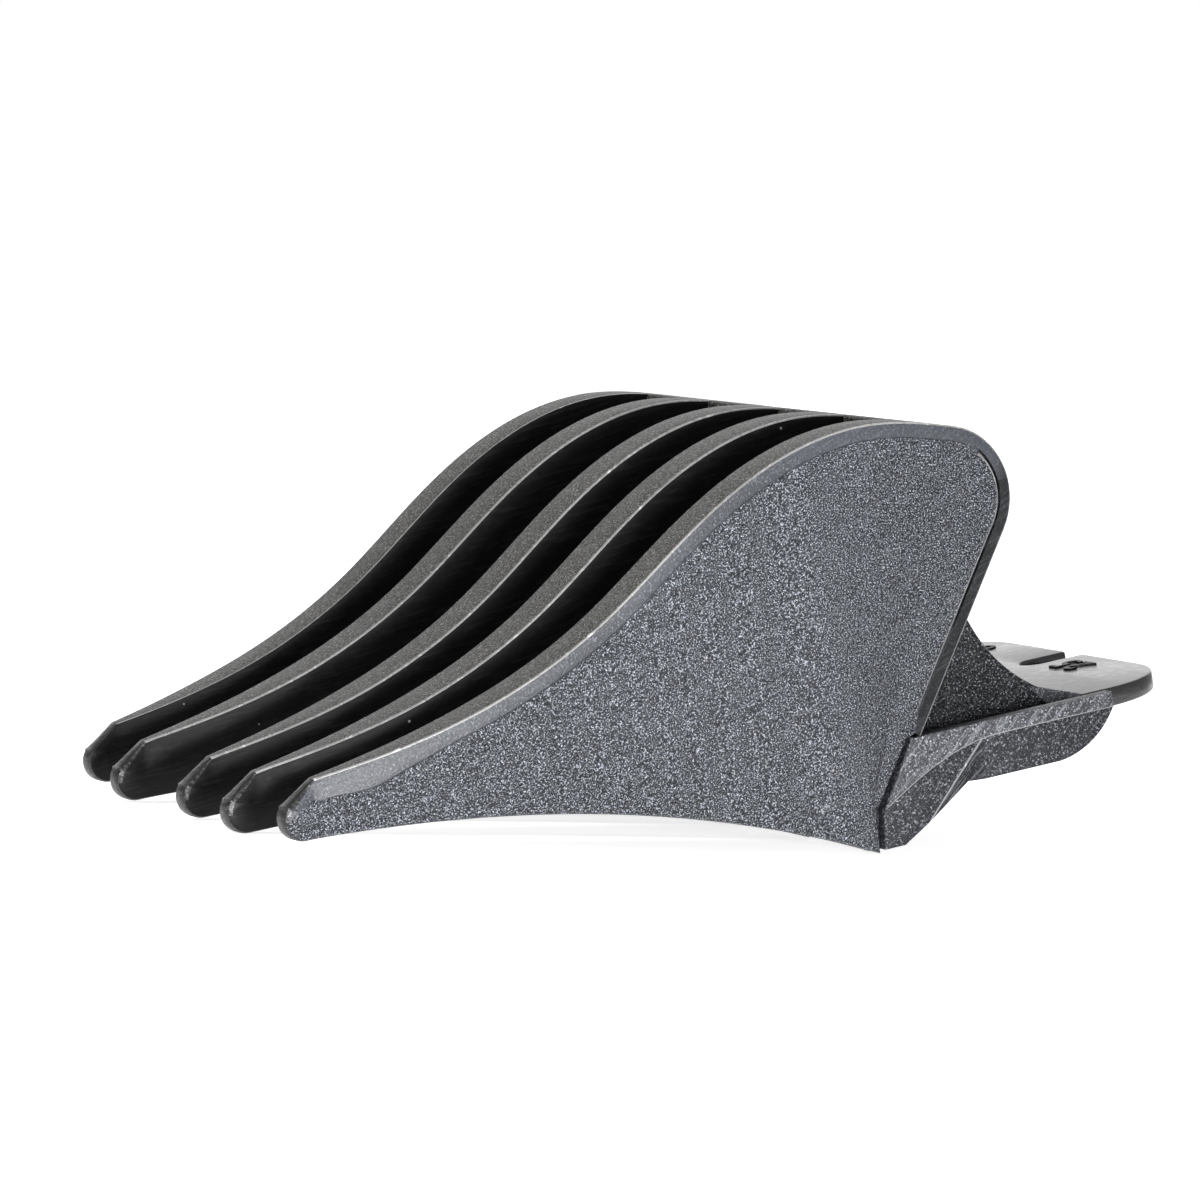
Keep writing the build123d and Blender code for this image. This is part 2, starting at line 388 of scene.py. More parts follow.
def round_edges(
    bm: bmesh.types.BMesh, edges: Iterable[bmesh.types.BMEdge], radius: float, segments: int = 3
) -> list[bmesh.types.BMFace]:
    """Rounds some edges and returns the new faces.

    Args:
        bm: the mesh.
        edges: the edges to round.
        radius: how far the rounding reaches from each edge.
        segments: how many faces go across it.

    Returns:
        The new faces.
    """
    return bmesh.ops.bevel(
        bm,
        geom=list(edges),
        offset=radius,
        offset_type="OFFSET",
        affect="EDGES",
        segments=segments,
        profile=0.5,
        material=-1,
        clamp_overlap=True,
    )["faces"]


def sharp_edges(bm: bmesh.types.BMesh, keep: Callable[[Vector], bool]) -> list[bmesh.types.BMEdge]:
    """The edges that fold by more than the sharp angle and whose two ends pass a test.

    Args:
        bm: the mesh.
        keep: the test for the place of an end.

    Returns:
        The edges found.
    """
    bm.normal_update()
    return [
        e
        for e in bm.edges
        if e.is_manifold and e.calc_face_angle(0) > SHARP_ANGLE and all(keep(v.co) for v in e.verts)
    ]


def cut_across(bm: bmesh.types.BMesh, stations: Iterable[float], axis: Vector) -> None:
    """Cuts the whole mesh by planes at the given distances along an axis.

    Args:
        bm: the mesh.
        stations: how far out each plane stands.
        axis: the direction that the planes face.
    """
    for station in stations:
        bmesh.ops.bisect_plane(
            bm,
            geom=bm.verts[:] + bm.edges[:] + bm.faces[:],
            dist=1e-4,
            plane_co=axis * station,
            plane_no=axis,
        )


# ---- node work -----------------------------------------------------------------------------------


class Graph:
    """A node tree with short ways to add, set and link its nodes."""

    def __init__(self, tree: bpy.types.NodeTree) -> None:
        """Starts on an empty tree."""
        self.tree = tree
        tree.nodes.clear()

    def add(self, kind: str, settings: dict | None = None, **inputs: object) -> bpy.types.Node:
        """Adds a node.

        Args:
            kind: the node's type, without its ShaderNode prefix.
            settings: the node's own properties.
            inputs: a value or an output socket for each input, by its name with _ for a space.

        Returns:
            The new node.
        """
        node = self.tree.nodes.new(kind if kind.startswith("Node") else "ShaderNode" + kind)
        for name, value in (settings or {}).items():
            setattr(node, name, value)
        for name, value in inputs.items():
            key = int(name[2:]) if name.startswith("in") and name[2:].isdigit() else name.replace("_", " ")
            self.feed(node.inputs[key], value)
        return node

    def feed(self, socket: bpy.types.NodeSocket, value: object) -> None:
        """Links an output to an input, or sets the input's value.

        Args:
            socket: the input.
            value: an output to link, or a plain value.
        """
        if isinstance(value, bpy.types.NodeSocket):
            self.tree.links.new(value, socket)
        else:
            socket.default_value = value

    def math(self, operation: str, a: object, b: object = 0.0, clamp: bool = False) -> bpy.types.NodeSocket:
        """The result of a Math node."""
        node = self.add("Math", {"operation": operation, "use_clamp": clamp}, in0=a, in1=b)
        return node.outputs[0]

    def remap(
        self, value: object, low: float, high: float, to_low: float, to_high: float
    ) -> bpy.types.NodeSocket:
        """A value eased from one range to another and held outside it.

        Args:
            value: a number, or the output that gives it.
            low: the start of its range.
            high: the end of its range.
            to_low: what the start becomes.
            to_high: what the end becomes.

        Returns:
            The output with the new value.
        """
        node = self.add(
            "MapRange",
            {"interpolation_type": "SMOOTHSTEP"},
            Value=value,
            From_Min=low,
            From_Max=high,
            To_Min=to_low,
            To_Max=to_high,
        )
        return node.outputs["Result"]

    def mix(self, share: object, a: object, b: object) -> bpy.types.NodeSocket:
        """Two colours mixed by a share."""
        node = self.add("MixRGB", {"blend_type": "MIX"}, Fac=share, Color1=a, Color2=b)
        return node.outputs[0]


def shader_group(
    name: str, inputs: dict[str, float], outputs: Sequence[str]
) -> tuple[Graph, bpy.types.Node, bpy.types.Node]:
    """Starts a shader node group with float sockets and a point in millimetres.

    Args:
        name: the group's name.
        inputs: each input's name and default.
        outputs: each output's name.

    Returns:
        Its graph, its input node and its output node.
    """
    tree = bpy.data.node_groups.new(name, "ShaderNodeTree")
    tree.interface.new_socket(name="Point", in_out="INPUT", socket_type="NodeSocketVector")
    for label, value in inputs.items():
        socket = tree.interface.new_socket(name=label, in_out="INPUT", socket_type="NodeSocketFloat")
        socket.default_value = value
    for label in outputs:
        tree.interface.new_socket(name=label, in_out="OUTPUT", socket_type="NodeSocketFloat")
    graph = Graph(tree)
    return graph, graph.add("NodeGroupInput"), graph.add("NodeGroupOutput")


@dataclass
class Effects:
    """The shared surface effects, each one node group that the finishes place with their own values."""

    built: dict[str, bpy.types.NodeTree] = field(default_factory=dict)

    def get(self, name: str) -> bpy.types.NodeTree:
        """The group of that name, built the first time it is asked for.

        Args:
            name: the name of the method that builds it.

        Returns:
            The node group.
        """
        if name not in self.built:
            self.built[name] = getattr(self, name)()
        return self.built[name]

    def spark_grain(self) -> bpy.types.NodeTree:
        """Pits and peaks that spark erosion leaves in a mould, and a mask on the peaks for painted glints.

        Returns:
            The node group.
        """
        given_values = {"Scale": 3.4, "Glint": 0.6}
        graph, given, out = shader_group("spark_grain", given_values, ("Height", "Glint", "Shade"))
        point, scale = given.outputs["Point"], given.outputs["Scale"]
        pits = graph.add("TexNoise", Vector=point, Scale=scale, Detail=2.0, Roughness=0.6, Distortion=0.35)
        cells = graph.add("TexVoronoi", {"feature": "F1"}, Vector=point, Scale=scale, Randomness=1.0)
        dome = graph.math("MULTIPLY", cells.outputs["Distance"], -0.55)
        graph.feed(out.inputs["Height"], graph.math("ADD", pits.outputs[0], dome))
        close = graph.math("MULTIPLY", scale, 1.5)
        fine = graph.add("TexNoise", Vector=point, Scale=close, Detail=2.0, Roughness=0.7)
        low = given.outputs["Glint"]
        peak = graph.add(
            "MapRange",
            {"interpolation_type": "SMOOTHSTEP"},
            Value=fine.outputs[0],
            From_Min=low,
            From_Max=graph.math("ADD", low, 0.24),
        )
        graph.feed(out.inputs["Glint"], peak.outputs["Result"])
        broad = graph.add("TexNoise", Vector=point, Scale=0.11, Detail=2.0, Roughness=0.5)
        graph.feed(out.inputs["Shade"], graph.remap(broad.outputs[0], 0.3, 0.7, 0.0, 1.0))
        return graph.tree

    def flow_marks(self) -> bpy.types.NodeTree:
        """Fine streaks that the melt leaves along the way it filled the mould.

        Returns:
            The node group.
        """
        given_values = {"Across": 5.0, "Along": 0.35, "Turn": 0.5}
        graph, given, out = shader_group("flow_marks", given_values, ("Height", "Mask"))
        turned = graph.add(
            "VectorRotate",
            {"rotation_type": "Y_AXIS"},
            Vector=given.outputs["Point"],
            Angle=given.outputs["Turn"],
        )
        stretch = graph.add("CombineXYZ", X=given.outputs["Along"], Y=0.6, Z=given.outputs["Across"])
        drawn = graph.add(
            "VectorMath", {"operation": "MULTIPLY"}, in0=turned.outputs[0], in1=stretch.outputs[0]
        )
        streak = graph.add(
            "TexNoise", Vector=drawn.outputs[0], Scale=1.0, Detail=3.0, Roughness=0.6, Distortion=0.4
        )
        graph.feed(out.inputs["Height"], streak.outputs[0])
        graph.feed(out.inputs["Mask"], graph.remap(streak.outputs[0], 0.52, 0.66, 0.0, 1.0))
        return graph.tree

    def dust(self) -> bpy.types.NodeTree:
        """Scattered motes that lie on the plastic.

        Returns:
            The node group.
        """
        graph, given, out = shader_group("dust", {"Spacing": 0.9, "Size": 0.1}, ("Mask",))
        point, spacing = given.outputs["Point"], given.outputs["Spacing"]
        cells = graph.add("TexVoronoi", {"feature": "F1"}, Vector=point, Scale=spacing)
        near = graph.math("LESS_THAN", cells.outputs["Distance"], given.outputs["Size"])
        chance = graph.add("SeparateColor", Color=cells.outputs["Color"]).outputs[0]
        rare = graph.math("GREATER_THAN", chance, 0.93)
        graph.feed(out.inputs["Mask"], graph.math("MULTIPLY", near, rare))
        return graph.tree


@dataclass(frozen=True)
class Plastic:
    """Charcoal plastic in one of its surface finishes."""

    name: str
    base: tuple[float, float, float]
    # glint is the colour of painted glints on the grain's peaks, and glint_level where on the grain they
    # start.
    glint: tuple[float, float, float]
    roughness: float
    grain_depth: float
    glint_level: float
    rough_spread: float = 0.1
    grain_scale: float = 4.4
    flow_depth: float = 0.0
    flow_turn: float = 0.5
    specular: float = 0.5
    streaks: float = 0.12
    # How strongly painted shade darkens the colour near and behind the rear panel's plane.
    rear_shade: float = 0.0

    def build(self, effects: Effects, rear: tuple[Vector, float]) -> bpy.types.Material:
        """Makes the material.

        Args:
            effects: the shared node groups.
            rear: the direction that the rear panel faces and how far out it stands, in millimetres.

        Returns:
            The finished material.
        """
        material = bpy.data.materials.new(self.name)
        material.use_nodes = True
        graph = Graph(material.node_tree)
        place = graph.add("TexCoord")
        scaled = graph.add("VectorMath", {"operation": "SCALE"}, in0=place.outputs["Object"], Scale=1 / MM)
        point = scaled.outputs[0]
        grain = graph.add(
            "Group", {"node_tree": effects.get("spark_grain")}, Point=point, Scale=self.grain_scale
        )
        graph.feed(grain.inputs["Glint"], self.glint_level)
        flow = graph.add(
            "Group", {"node_tree": effects.get("flow_marks")}, Point=point, Turn=self.flow_turn
        )
        dust = graph.add("Group", {"node_tree": effects.get("dust")}, Point=point)

        deep = (*(DEEP_TONE * c for c in self.base), 1.0)
        tone = graph.mix(grain.outputs["Shade"], deep, (*self.base, 1.0))
        # Painted highlights: the grain's peaks take the light glint colour.
        tone = graph.mix(grain.outputs["Glint"], tone, (*self.glint, 1.0))
        streaked = graph.math("MULTIPLY", flow.outputs["Mask"], self.streaks)
        tone = graph.mix(streaked, tone, STREAK_COLOUR)
        # Painted shade: the colour darkens towards SHADE_COLOUR near and behind the rear panel's plane, as
        # far as rear_shade says.
        out = graph.add("VectorMath", {"operation": "DOT_PRODUCT"}, in0=point, in1=rear[0]).outputs["Value"]
        shade = graph.remap(out, rear[1] - SHADE_START, rear[1] - SHADE_END, 0.0, self.rear_shade)
        tone = graph.mix(shade, tone, SHADE_COLOUR)
        tone = graph.mix(graph.math("MULTIPLY", dust.outputs["Mask"], DUST_SHARE), tone, DUST_COLOUR)
        rougher = self.roughness + self.rough_spread
        rough = graph.remap(grain.outputs["Height"], PIT_LOW, PIT_HIGH, rougher, self.roughness)

        coarse = graph.add(
            "Bump", Strength=1.0, Distance=self.grain_depth * MM, Height=grain.outputs["Height"]
        )
        drawn = graph.add(
            "Bump",
            Strength=1.0,
            Distance=self.flow_depth * MM,
            Height=flow.outputs["Height"],
            Normal=coarse.outputs["Normal"],
        )
        shader = graph.add(
            "BsdfPrincipled",
            Base_Color=tone,
            Roughness=rough,
            Normal=drawn.outputs["Normal"],
            IOR=PLASTIC_IOR,
            Specular_IOR_Level=self.specular,
        )
        output = graph.add("OutputMaterial")
        graph.feed(output.inputs["Surface"], shader.outputs["BSDF"])
        return material


@dataclass
class Finishes:
    """The comb's finishes, built once."""

    rear: tuple[Vector, float]
    effects: Effects = field(default_factory=Effects)
    made: dict[str, bpy.types.Material] = field(default_factory=dict)

    TEXTURED = Plastic(
        'textured', base=(0.01, 0.011, 0.0135), glint=(0.34, 0.36, 0.41), roughness=0.26,
        rough_spread=0.06, grain_scale=5.6, grain_depth=0.13, glint_level=0.49, specular=0.18,
    )
    GUSSET = Plastic(
        'gusset', base=(0.004, 0.0045, 0.0055), glint=(0.36, 0.37, 0.41), roughness=0.34,
        grain_depth=0.14, glint_level=0.54, specular=0.2,
    )
    RAIL = Plastic(
        'rail', base=(0.011, 0.012, 0.0145), glint=(0.26, 0.27, 0.3), roughness=0.38,
        grain_depth=0.1, glint_level=0.53, flow_depth=0.02, flow_turn=0.9, specular=0.2,
    )
    BAND = Plastic(
        'band', base=(0.026, 0.028, 0.033), glint=(0.34, 0.35, 0.385), roughness=0.34,
        grain_depth=0.06, glint_level=0.51, flow_depth=0.05, flow_turn=0.9, specular=0.35,
        streaks=0.6,
    )
    BORDER = Plastic(
        'border', base=(0.032, 0.035, 0.042), glint=(0.13, 0.14, 0.16), roughness=0.4,
        grain_depth=0.03, glint_level=0.52, flow_depth=0.01, flow_turn=0.6, specular=0.35,
        streaks=0.1, rear_shade=0.82,
    )
    SATIN = Plastic(
        'satin', base=(0.014, 0.0135, 0.0125), glint=(0.3, 0.29, 0.27), roughness=0.42,
        grain_scale=4.2, grain_depth=0.12, glint_level=0.5, specular=0.3,
    )
    # Painted highlight: a light colour on rounded skin edges and on the field's rim, standing for their
    # bright highlight line.
    EDGE = Plastic(
        'edge', base=(0.2, 0.199, 0.195), glint=(0.5, 0.5, 0.49), roughness=0.22, grain_scale=1.3,
        grain_depth=0.01, glint_level=0.56, specular=1.0, streaks=0.0, rear_shade=0.6,
    )
    NOSE = Plastic(
        'nose', base=(0.005, 0.005, 0.0055), glint=(0.05, 0.05, 0.05), roughness=0.3,
        rough_spread=0.14, grain_scale=2.6, grain_depth=0.05, glint_level=0.56, flow_depth=0.02,
        flow_turn=0.9, specular=0.4,
    )
    SMOOTH = Plastic(
        'smooth', base=(0.003, 0.003, 0.0032), glint=(0.01, 0.01, 0.01), roughness=0.36,
        grain_scale=2.0, grain_depth=0.01, glint_level=0.6, flow_depth=0.01, flow_turn=0.3,
        specular=0.15, streaks=0.03,
    )
    # Painted shade: a darker, duller copy of the border finish, for the border where it turns away on the
    # crown's rear.
    RIM = Plastic(
        'rim', base=(0.012, 0.0125, 0.014), glint=(0.04, 0.042, 0.046), roughness=0.42,
        grain_scale=4.0, grain_depth=0.03, glint_level=0.54, flow_depth=0.01, flow_turn=0.6,
        specular=0.12, streaks=0.1,
    )
    # Painted highlight: a light line on the rail's crease and along the band's lower rim.
    LINE = Plastic(
        'line', base=(0.15, 0.154, 0.162), glint=(0.5, 0.5, 0.5), roughness=0.3, grain_scale=1.3,
        grain_depth=0.02, glint_level=0.56, flow_depth=0.02, flow_turn=0.9, specular=0.8,
    )
    # Painted shade: a darker copy of the rail finish, for the folded face below the rail's crease.
    LOW = Plastic(
        'rail_low', base=(0.006, 0.0065, 0.008), glint=(0.09, 0.095, 0.11), roughness=0.4,
        grain_scale=4.0, grain_depth=0.08, glint_level=0.54, flow_depth=0.04, flow_turn=0.9,
        specular=0.25, streaks=0.4,
    )
    POLISHED = Plastic(
        'polished', base=(0.016, 0.016, 0.017), glint=(0.02, 0.02, 0.021), roughness=0.2,
        rough_spread=0.06, grain_scale=1.2, grain_depth=0.004, glint_level=0.66, flow_depth=0.002,
        flow_turn=0.2,
    )

    def get(self, finish: Plastic) -> bpy.types.Material:
        """The material of a finish.

        Args:
            finish: the finish.

        Returns:
            Its material, built the first time it is asked for.
        """
        if finish.name not in self.made:
            self.made[finish.name] = finish.build(self.effects, self.rear)
        return self.made[finish.name]


# ---- the bench everything is built on -------------------------------------------------------------


@dataclass(frozen=True)
class Bench:
    """Carries drawings from the blade frame into the row frame and turns meshes into pieces."""

    matrix: Matrix
    finishes: Finishes
    profile: Profile = Profile()
    plan: Plan = Plan()

    @classmethod
    def from_record(cls, record: dict, seat_point: Vector = Vector((65.2, 0, -9.0))) -> "Bench":
        """Reads the blade frame from the blade seat's mount.

        Args:
            record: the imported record.
            seat_point: where that mount is in the blade frame, in millimetres.

        Returns:
            A bench for this comb.
        """
        seat = next(m for m in record["mounts"] if m["name"] == "blade_seat")
        up = -Vector(seat["axis"]).normalized()
        across = Vector((0, 1, 0))
        turn = Matrix((across.cross(up), across, up)).transposed().to_4x4()
        scaled = turn @ Matrix.Scale(MM, 4)
        matrix = Matrix.Translation(Vector(seat["pos_m"]) - scaled @ seat_point) @ scaled
        profile = Profile()
        facing = (turn @ Vector((sin(profile.lean), 0, -cos(profile.lean)))).normalized()
        reach = (matrix @ Vector((profile.crown_out[0], 0, profile.crown_out[1]))).dot(facing) / MM
        return cls(matrix, Finishes((facing, reach)), profile)

    def place(self, x: float, y: float, z: float) -> Vector:
        """A point of the blade frame, in the row frame."""
        return self.matrix @ Vector((x, y, z))

    def piece(
        self,
        name: str,
        bm: bmesh.types.BMesh,
        finishes: Sequence[Plastic],
        slot: Slot,
        nodes: Sequence[str],
        body: Body | None = Body.COMB,
    ) -> bpy.types.Object:
        """Turns a mesh into a piece of the comb.

        Args:
            name: the piece's name.
            bm: its mesh, in the blade frame; it is freed.
            finishes: its finishes, in the order of the material indices.
            slot: the record's slot for its finish; not used.
            nodes: the CAD nodes that it stands for.
            body: the body that it rides on, or None where it rides on neither.

        Returns:
            The new object.
        """
        bmesh.ops.remove_doubles(bm, verts=bm.verts[:], dist=1e-4)
        bmesh.ops.transform(bm, matrix=self.matrix, verts=bm.verts[:])
        bmesh.ops.recalc_face_normals(bm, faces=bm.faces[:])
        for face in bm.faces:
            face.smooth = True
        mesh = bpy.data.meshes.new(name)
        bm.to_mesh(mesh)
        bm.free()
        mesh.set_sharp_from_angle(angle=SHARP_ANGLE)
        for finish in finishes:
            mesh.materials.append(self.finishes.get(finish))
        obj = bpy.data.objects.new(name, mesh)
        bpy.context.scene.collection.objects.link(obj)
        if body is not None:
            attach(obj, body.value)
        if nodes:
            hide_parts(*nodes)
        LOG.info("%s: %d faces, stands for %s", name, len(mesh.polygons), ", ".join(nodes) or "nothing")
        return obj


# ---- teeth ---------------------------------------------------------------------------------------


@dataclass(frozen=True)
class Station:
    """One place along a tooth: its skin-side and hair-side points, and how deep the groove is there."""

    skin: Pair
    hair: Pair
    groove: float


@dataclass(frozen=True)
class Tooth:
    """A tooth plate: a ring extruded from the nose along its skin and hair edges."""

    bench: Bench
    index: int
    edge_radius: float = 0.14
    nose_edge_radius: float = 0.42
    hair_edge_radius: float = 0.3
    facet_end: float = 14.0
    facet_inset: float = 0.45
    facet_depth: float = 2.4
    facet_root: float = 0.5
    nose_step: float = 0.09
    slope_run: float = 2.35
    heel_gap: float = 0.3
    nose_lead: float = 2.4
    nose_fade: float = 3.2
    open_share: float = 0.55
    open_start: float = 1.7
    open_lead: float = 1.0
    focus_shift: Pair = (0.9, 0.2)
    focus_fade: float = 3.0

    @property
    def name(self) -> str:
        """The tooth's CAD node."""
        return f"tooth_{self.index + 1}"

    @property
    def profile(self) -> Profile:
        """The side view with this tooth's own setback."""
        return replace(self.bench.profile, setback=self.bench.plan.setbacks[self.index])

    def front(self, nose: int = 8, slope: int = 5) -> tuple[list[Pair], list[Pair]]:
        """The skin-side and hair-side paths from the nose to the heel, with matching points.

        Args:
            nose: how many pieces the nose is cut into.
            slope: how many pieces the slope above it is cut into.

        Returns:
            The skin-side path and the hair-side path.
        """
        profile = self.profile
        bow = arc(profile.nose_centre, profile.nose_radius, pi, profile.slope_angle, nose)
        ahead = Vector((cos(profile.slope_angle), sin(profile.slope_angle)))
        bow[-2] = tuple(Vector(bow[-2]) + ahead * self.nose_step)
        ramp = line(bow[-1], profile.tip, slope)
        curve = profile.skin_curve()
        heel_x = profile.heel[0]
        skin = [p for p in curve if p[0] < heel_x - self.heel_gap]
        top = [*bow, *ramp[1:-1], *skin, (heel_x, profile.skin_z(heel_x))]
        under = arc(profile.nose_centre, profile.nose_radius, pi, profile.nose_low_angle, 24)
        count = nose + slope
        under += [(x, profile.hair_z(x)) for x in np.linspace(under[-1][0], profile.tip[0], 8)[1:]]
        bottom = [*spread(under, count + 1), *((x, profile.hair_z(x)) for x, _ in [*skin[1:], top[-1]])]
        return top, bottom

    def rear(self) -> tuple[list[Pair], list[Pair]]:
        """The same two paths from the heel to the rear end.

        Returns:
            The skin-side path and the hair-side path.
        """
        profile = self.profile
        heel_x = profile.heel[0]
        reach = (heel_x + self.heel_gap, profile.crown_start + 1.5)
        skin = [p for p in profile.skin_curve() if reach[0] < p[0] < reach[1]]
        sink = profile.wall / 2
        dive = profile.on_crown(pi / 2 - profile.crown_entry, sink)
        back = [*profile.crown_arc(10, sink)[1:], *self.rear_line(profile.deck_top, 8, sink)[1:]]
        top = [*skin, dive, *back]
        bottom = self.heel_path(profile.deck_top, len(skin) + 1, 10, 8, sink)
        return top, bottom

    def rear_line(self, low: float, count: int, inside: float) -> list[Pair]:
        """Points down the rear panel, from the crown to a height, that far inside it.

        Args:
            low: the height where the line ends.
            count: how many pieces it is cut into.
            inside: the distance from the panel's outer face.

        Returns:
            The points, from the crown down.
        """
        profile = self.profile
        start = profile.on_crown(profile.lean - pi / 2, inside)
        return line(start, (profile.rear_x(low, inside), low), count)

    def heel_path(self, top: float, up: int, back: int, rise: int, inside: float) -> list[Pair]:
        """The hair-side path behind the heel: up its rear edge, back under the plate, and up to top.

        Args:
            top: the height where the path ends.
            up: how many pieces the heel's rear edge is cut into.
            back: how many pieces the edge under the plate is cut into.
            rise: how many pieces the rise to the top is cut into.
            inside: how far the path's end stands inside the panel's outer face.

        Returns:
            The points, without the heel itself.
        """
        profile = self.profile
        heel = profile.heel
        corner = (heel[0], profile.heel_top)
        inner = (profile.rear_x(profile.heel_top, profile.wall), profile.heel_top)
        end = (profile.rear_x(top, inside), top)
        return [*line(heel, corner, up)[1:], *line(corner, inner, back)[1:], *line(inner, end, rise)[1:]]

    def stations(self) -> list[Station]:
        """Every station from the nose to the rear end."""
        (top, bottom), (top_rear, bottom_rear) = self.front(), self.rear()
        return [Station(s, h, 0.0) for s, h in zip([*top, *top_rear], [*bottom, *bottom_rear], strict=True)]

    def closed(self) -> bool:
        """Whether the ring zips shut at the rear end."""
        return True

    def facet(self, x: float) -> float:
        """How far the plate's sides are cut back at the skin edge, near the tip.

        Args:
            x: where along the comb.

        Returns:
            The distance, 0 behind the facet.
        """
        back = x - self.profile.tip[0]
        if back < 0:
            return self.facet_inset * max(0.0, 1 + back / self.slope_run)
        return self.facet_inset * max(0.0, 1 - back / self.facet_end) ** 1.2

    def side_marks(self, station: Station, side: int, fillet: float) -> list[tuple[float, float, int]]:
        """Depth, inset and tag of the side's points between the skin fillet and the hair fillet."""
        back = station.skin[0] - self.profile.tip[0]
        reach = self.facet_root + self.facet_depth * max(0.0, 1 - back / self.facet_end)
        return [(max(reach, fillet), 0.0, 1)]

    def skin_inset(self, station: Station, side: int) -> float:
        """How far the skin edge stands inside the plate's face."""
        return self.facet(station.skin[0])

    def rings(self) -> tuple[list[list[Vector]], list[int]]:
        """The ring at every station, and the tags of its edges.

        Returns:
            The rings, all with the same count of points, and one tag per edge.
        """
        stations = self.stations()
        skins, hairs = [s.skin for s in stations], [s.hair for s in stations]
        last = (hairs[-2], skins[-2]) if self.closed() else (None, None)
        skin_in = inward(skins, hairs[1], last[0], True)
        hair_in = inward(hairs, skins[1], last[1], False)
        rings = []
        tags: list[int] = []
        for place, (station, down, up) in enumerate(zip(stations, skin_in, hair_in)):
            back = station.skin[0] - self.profile.tip[0]
            nose = 1 - ease((back + self.nose_lead) / self.nose_fade)
            fillet = self.edge_radius + (self.nose_edge_radius - self.edge_radius) * nose
            low_fillet = self.hair_edge_radius + (self.nose_edge_radius - self.hair_edge_radius) * nose
            if self.closed() and place == len(stations) - 1:
                low_fillet = fillet
            room = dist(station.skin, station.hair)
            open_depth = self.open_share * (self.open_start + max(0.0, back + self.open_lead))
            ring, tags = [], []
            for side in (Side.RIGHT, Side.LEFT):
                inset = self.skin_inset(station, side)
                bulge = FILLET_MIDDLE * fillet
                # Tag 4 is the skin edge's fillet; it takes the light edge finish, a painted highlight line.
                marks = [(0.0, inset + fillet, 4), (bulge, inset + bulge, 4), (fillet, inset, 1)]
                for depth, mark_inset, tag in self.side_marks(station, side, fillet):
                    share = min(1.0, min(0.4 * room, open_depth) / max(depth, 1e-6))
                    depth = fillet + (depth - fillet) * share
                    marks.append((depth, inset + (mark_inset - inset) * share, tag))
                ways = [down] * 3 + [self.toward(station.skin, down)] * (len(marks) - 3)
                points = [
                    (self.at(station.skin, way, d, u, side), tag)
                    for way, (d, u, tag) in zip(ways, marks)
                ]
                bulge = FILLET_MIDDLE * low_fillet
                low = [(low_fillet, 0.0, 2), (bulge, bulge, 2), (0.0, low_fillet, 2)]
                points += [(self.at(station.hair, up, d, u, side), tag) for d, u, tag in low]
                if side == Side.LEFT:
                    points.reverse()
                    behind = [tag for _, tag in points[1:]] + [0]
                    points = [(p, tag) for (p, _), tag in zip(points, behind)]
                ring += [p for p, _ in points]
                tags += [tag for _, tag in points]
            rings.append(ring)
        return rings, tags

    def toward(self, spot: Pair, normal: Pair) -> Pair:
        """The way into the plate: to one focus in the nose, and square to the edge behind it.

        Args:
            spot: the skin point.
            normal: the way in that is square to the edge there.

        Returns:
            The direction.
        """
        centre = self.profile.nose_centre
        shift = self.focus_shift
        focus = Vector((centre[0] + shift[0], centre[1] + shift[1])) - Vector(spot)
        share = ease((spot[0] - self.profile.tip[0]) / self.focus_fade)
        return tuple(focus.normalized().lerp(Vector(normal), share))

    def at(self, spot: Pair, normal: Pair, depth: float, inset: float, side: int) -> Vector:
        """A point that deep inside an edge and that far in from the plate's face.

        Args:
            spot: a point of the edge.
            normal: the way into the plate there.
            depth: how far in along it.
            inset: how far in from the plate's face.
            side: the sign of the face.

        Returns:
            The point, in the blade frame.
        """
        x, z = spot[0] + normal[0] * depth, spot[1] + normal[1] * depth
        plan = self.bench.plan
        return Vector((x, plan.middle(self.index, x) + side * (plan.half(x) - inset), z))

    def mesh(self) -> bmesh.types.BMesh:
        """The tooth's mesh.

        Returns:
            The mesh, in the blade frame.
        """
        bm = bmesh.new()
        rings, tags = self.rings()
        sweep_ring(bm, rings, tags)
        bmesh.ops.remove_doubles(bm, verts=bm.verts[:], dist=1e-4)
        if not self.closed():
            bmesh.ops.holes_fill(bm, edges=[e for e in bm.edges if e.is_boundary], sides=0)
        bmesh.ops.dissolve_degenerate(bm, dist=1e-4, edges=bm.edges[:])
        return bm

    def dress_nose(self, bm: bmesh.types.BMesh, finish: int) -> None:
        """Gives the nose and the slope above it another finish.

        Args:
            bm: the mesh.
            finish: the material index of that finish.
        """
        bm.normal_update()
        for face in bm.faces:
            ahead = face.calc_center_median().x < self.profile.tip[0] - 0.05
            if ahead and (abs(face.normal.y) < 0.9 or face.material_index == 4):
                face.material_index = finish

    def build(self) -> bpy.types.Object:
        """Builds and dresses the tooth.

        Returns:
            The new piece.
        """
        bm = self.mesh()
        self.dress_nose(bm, 3)
        finishes = (Finishes.SATIN, Finishes.SMOOTH, Finishes.SMOOTH, Finishes.NOSE, Finishes.EDGE)
        return self.bench.piece(f"{self.name}_plate", bm, finishes, Slot.SATIN, [self.name])


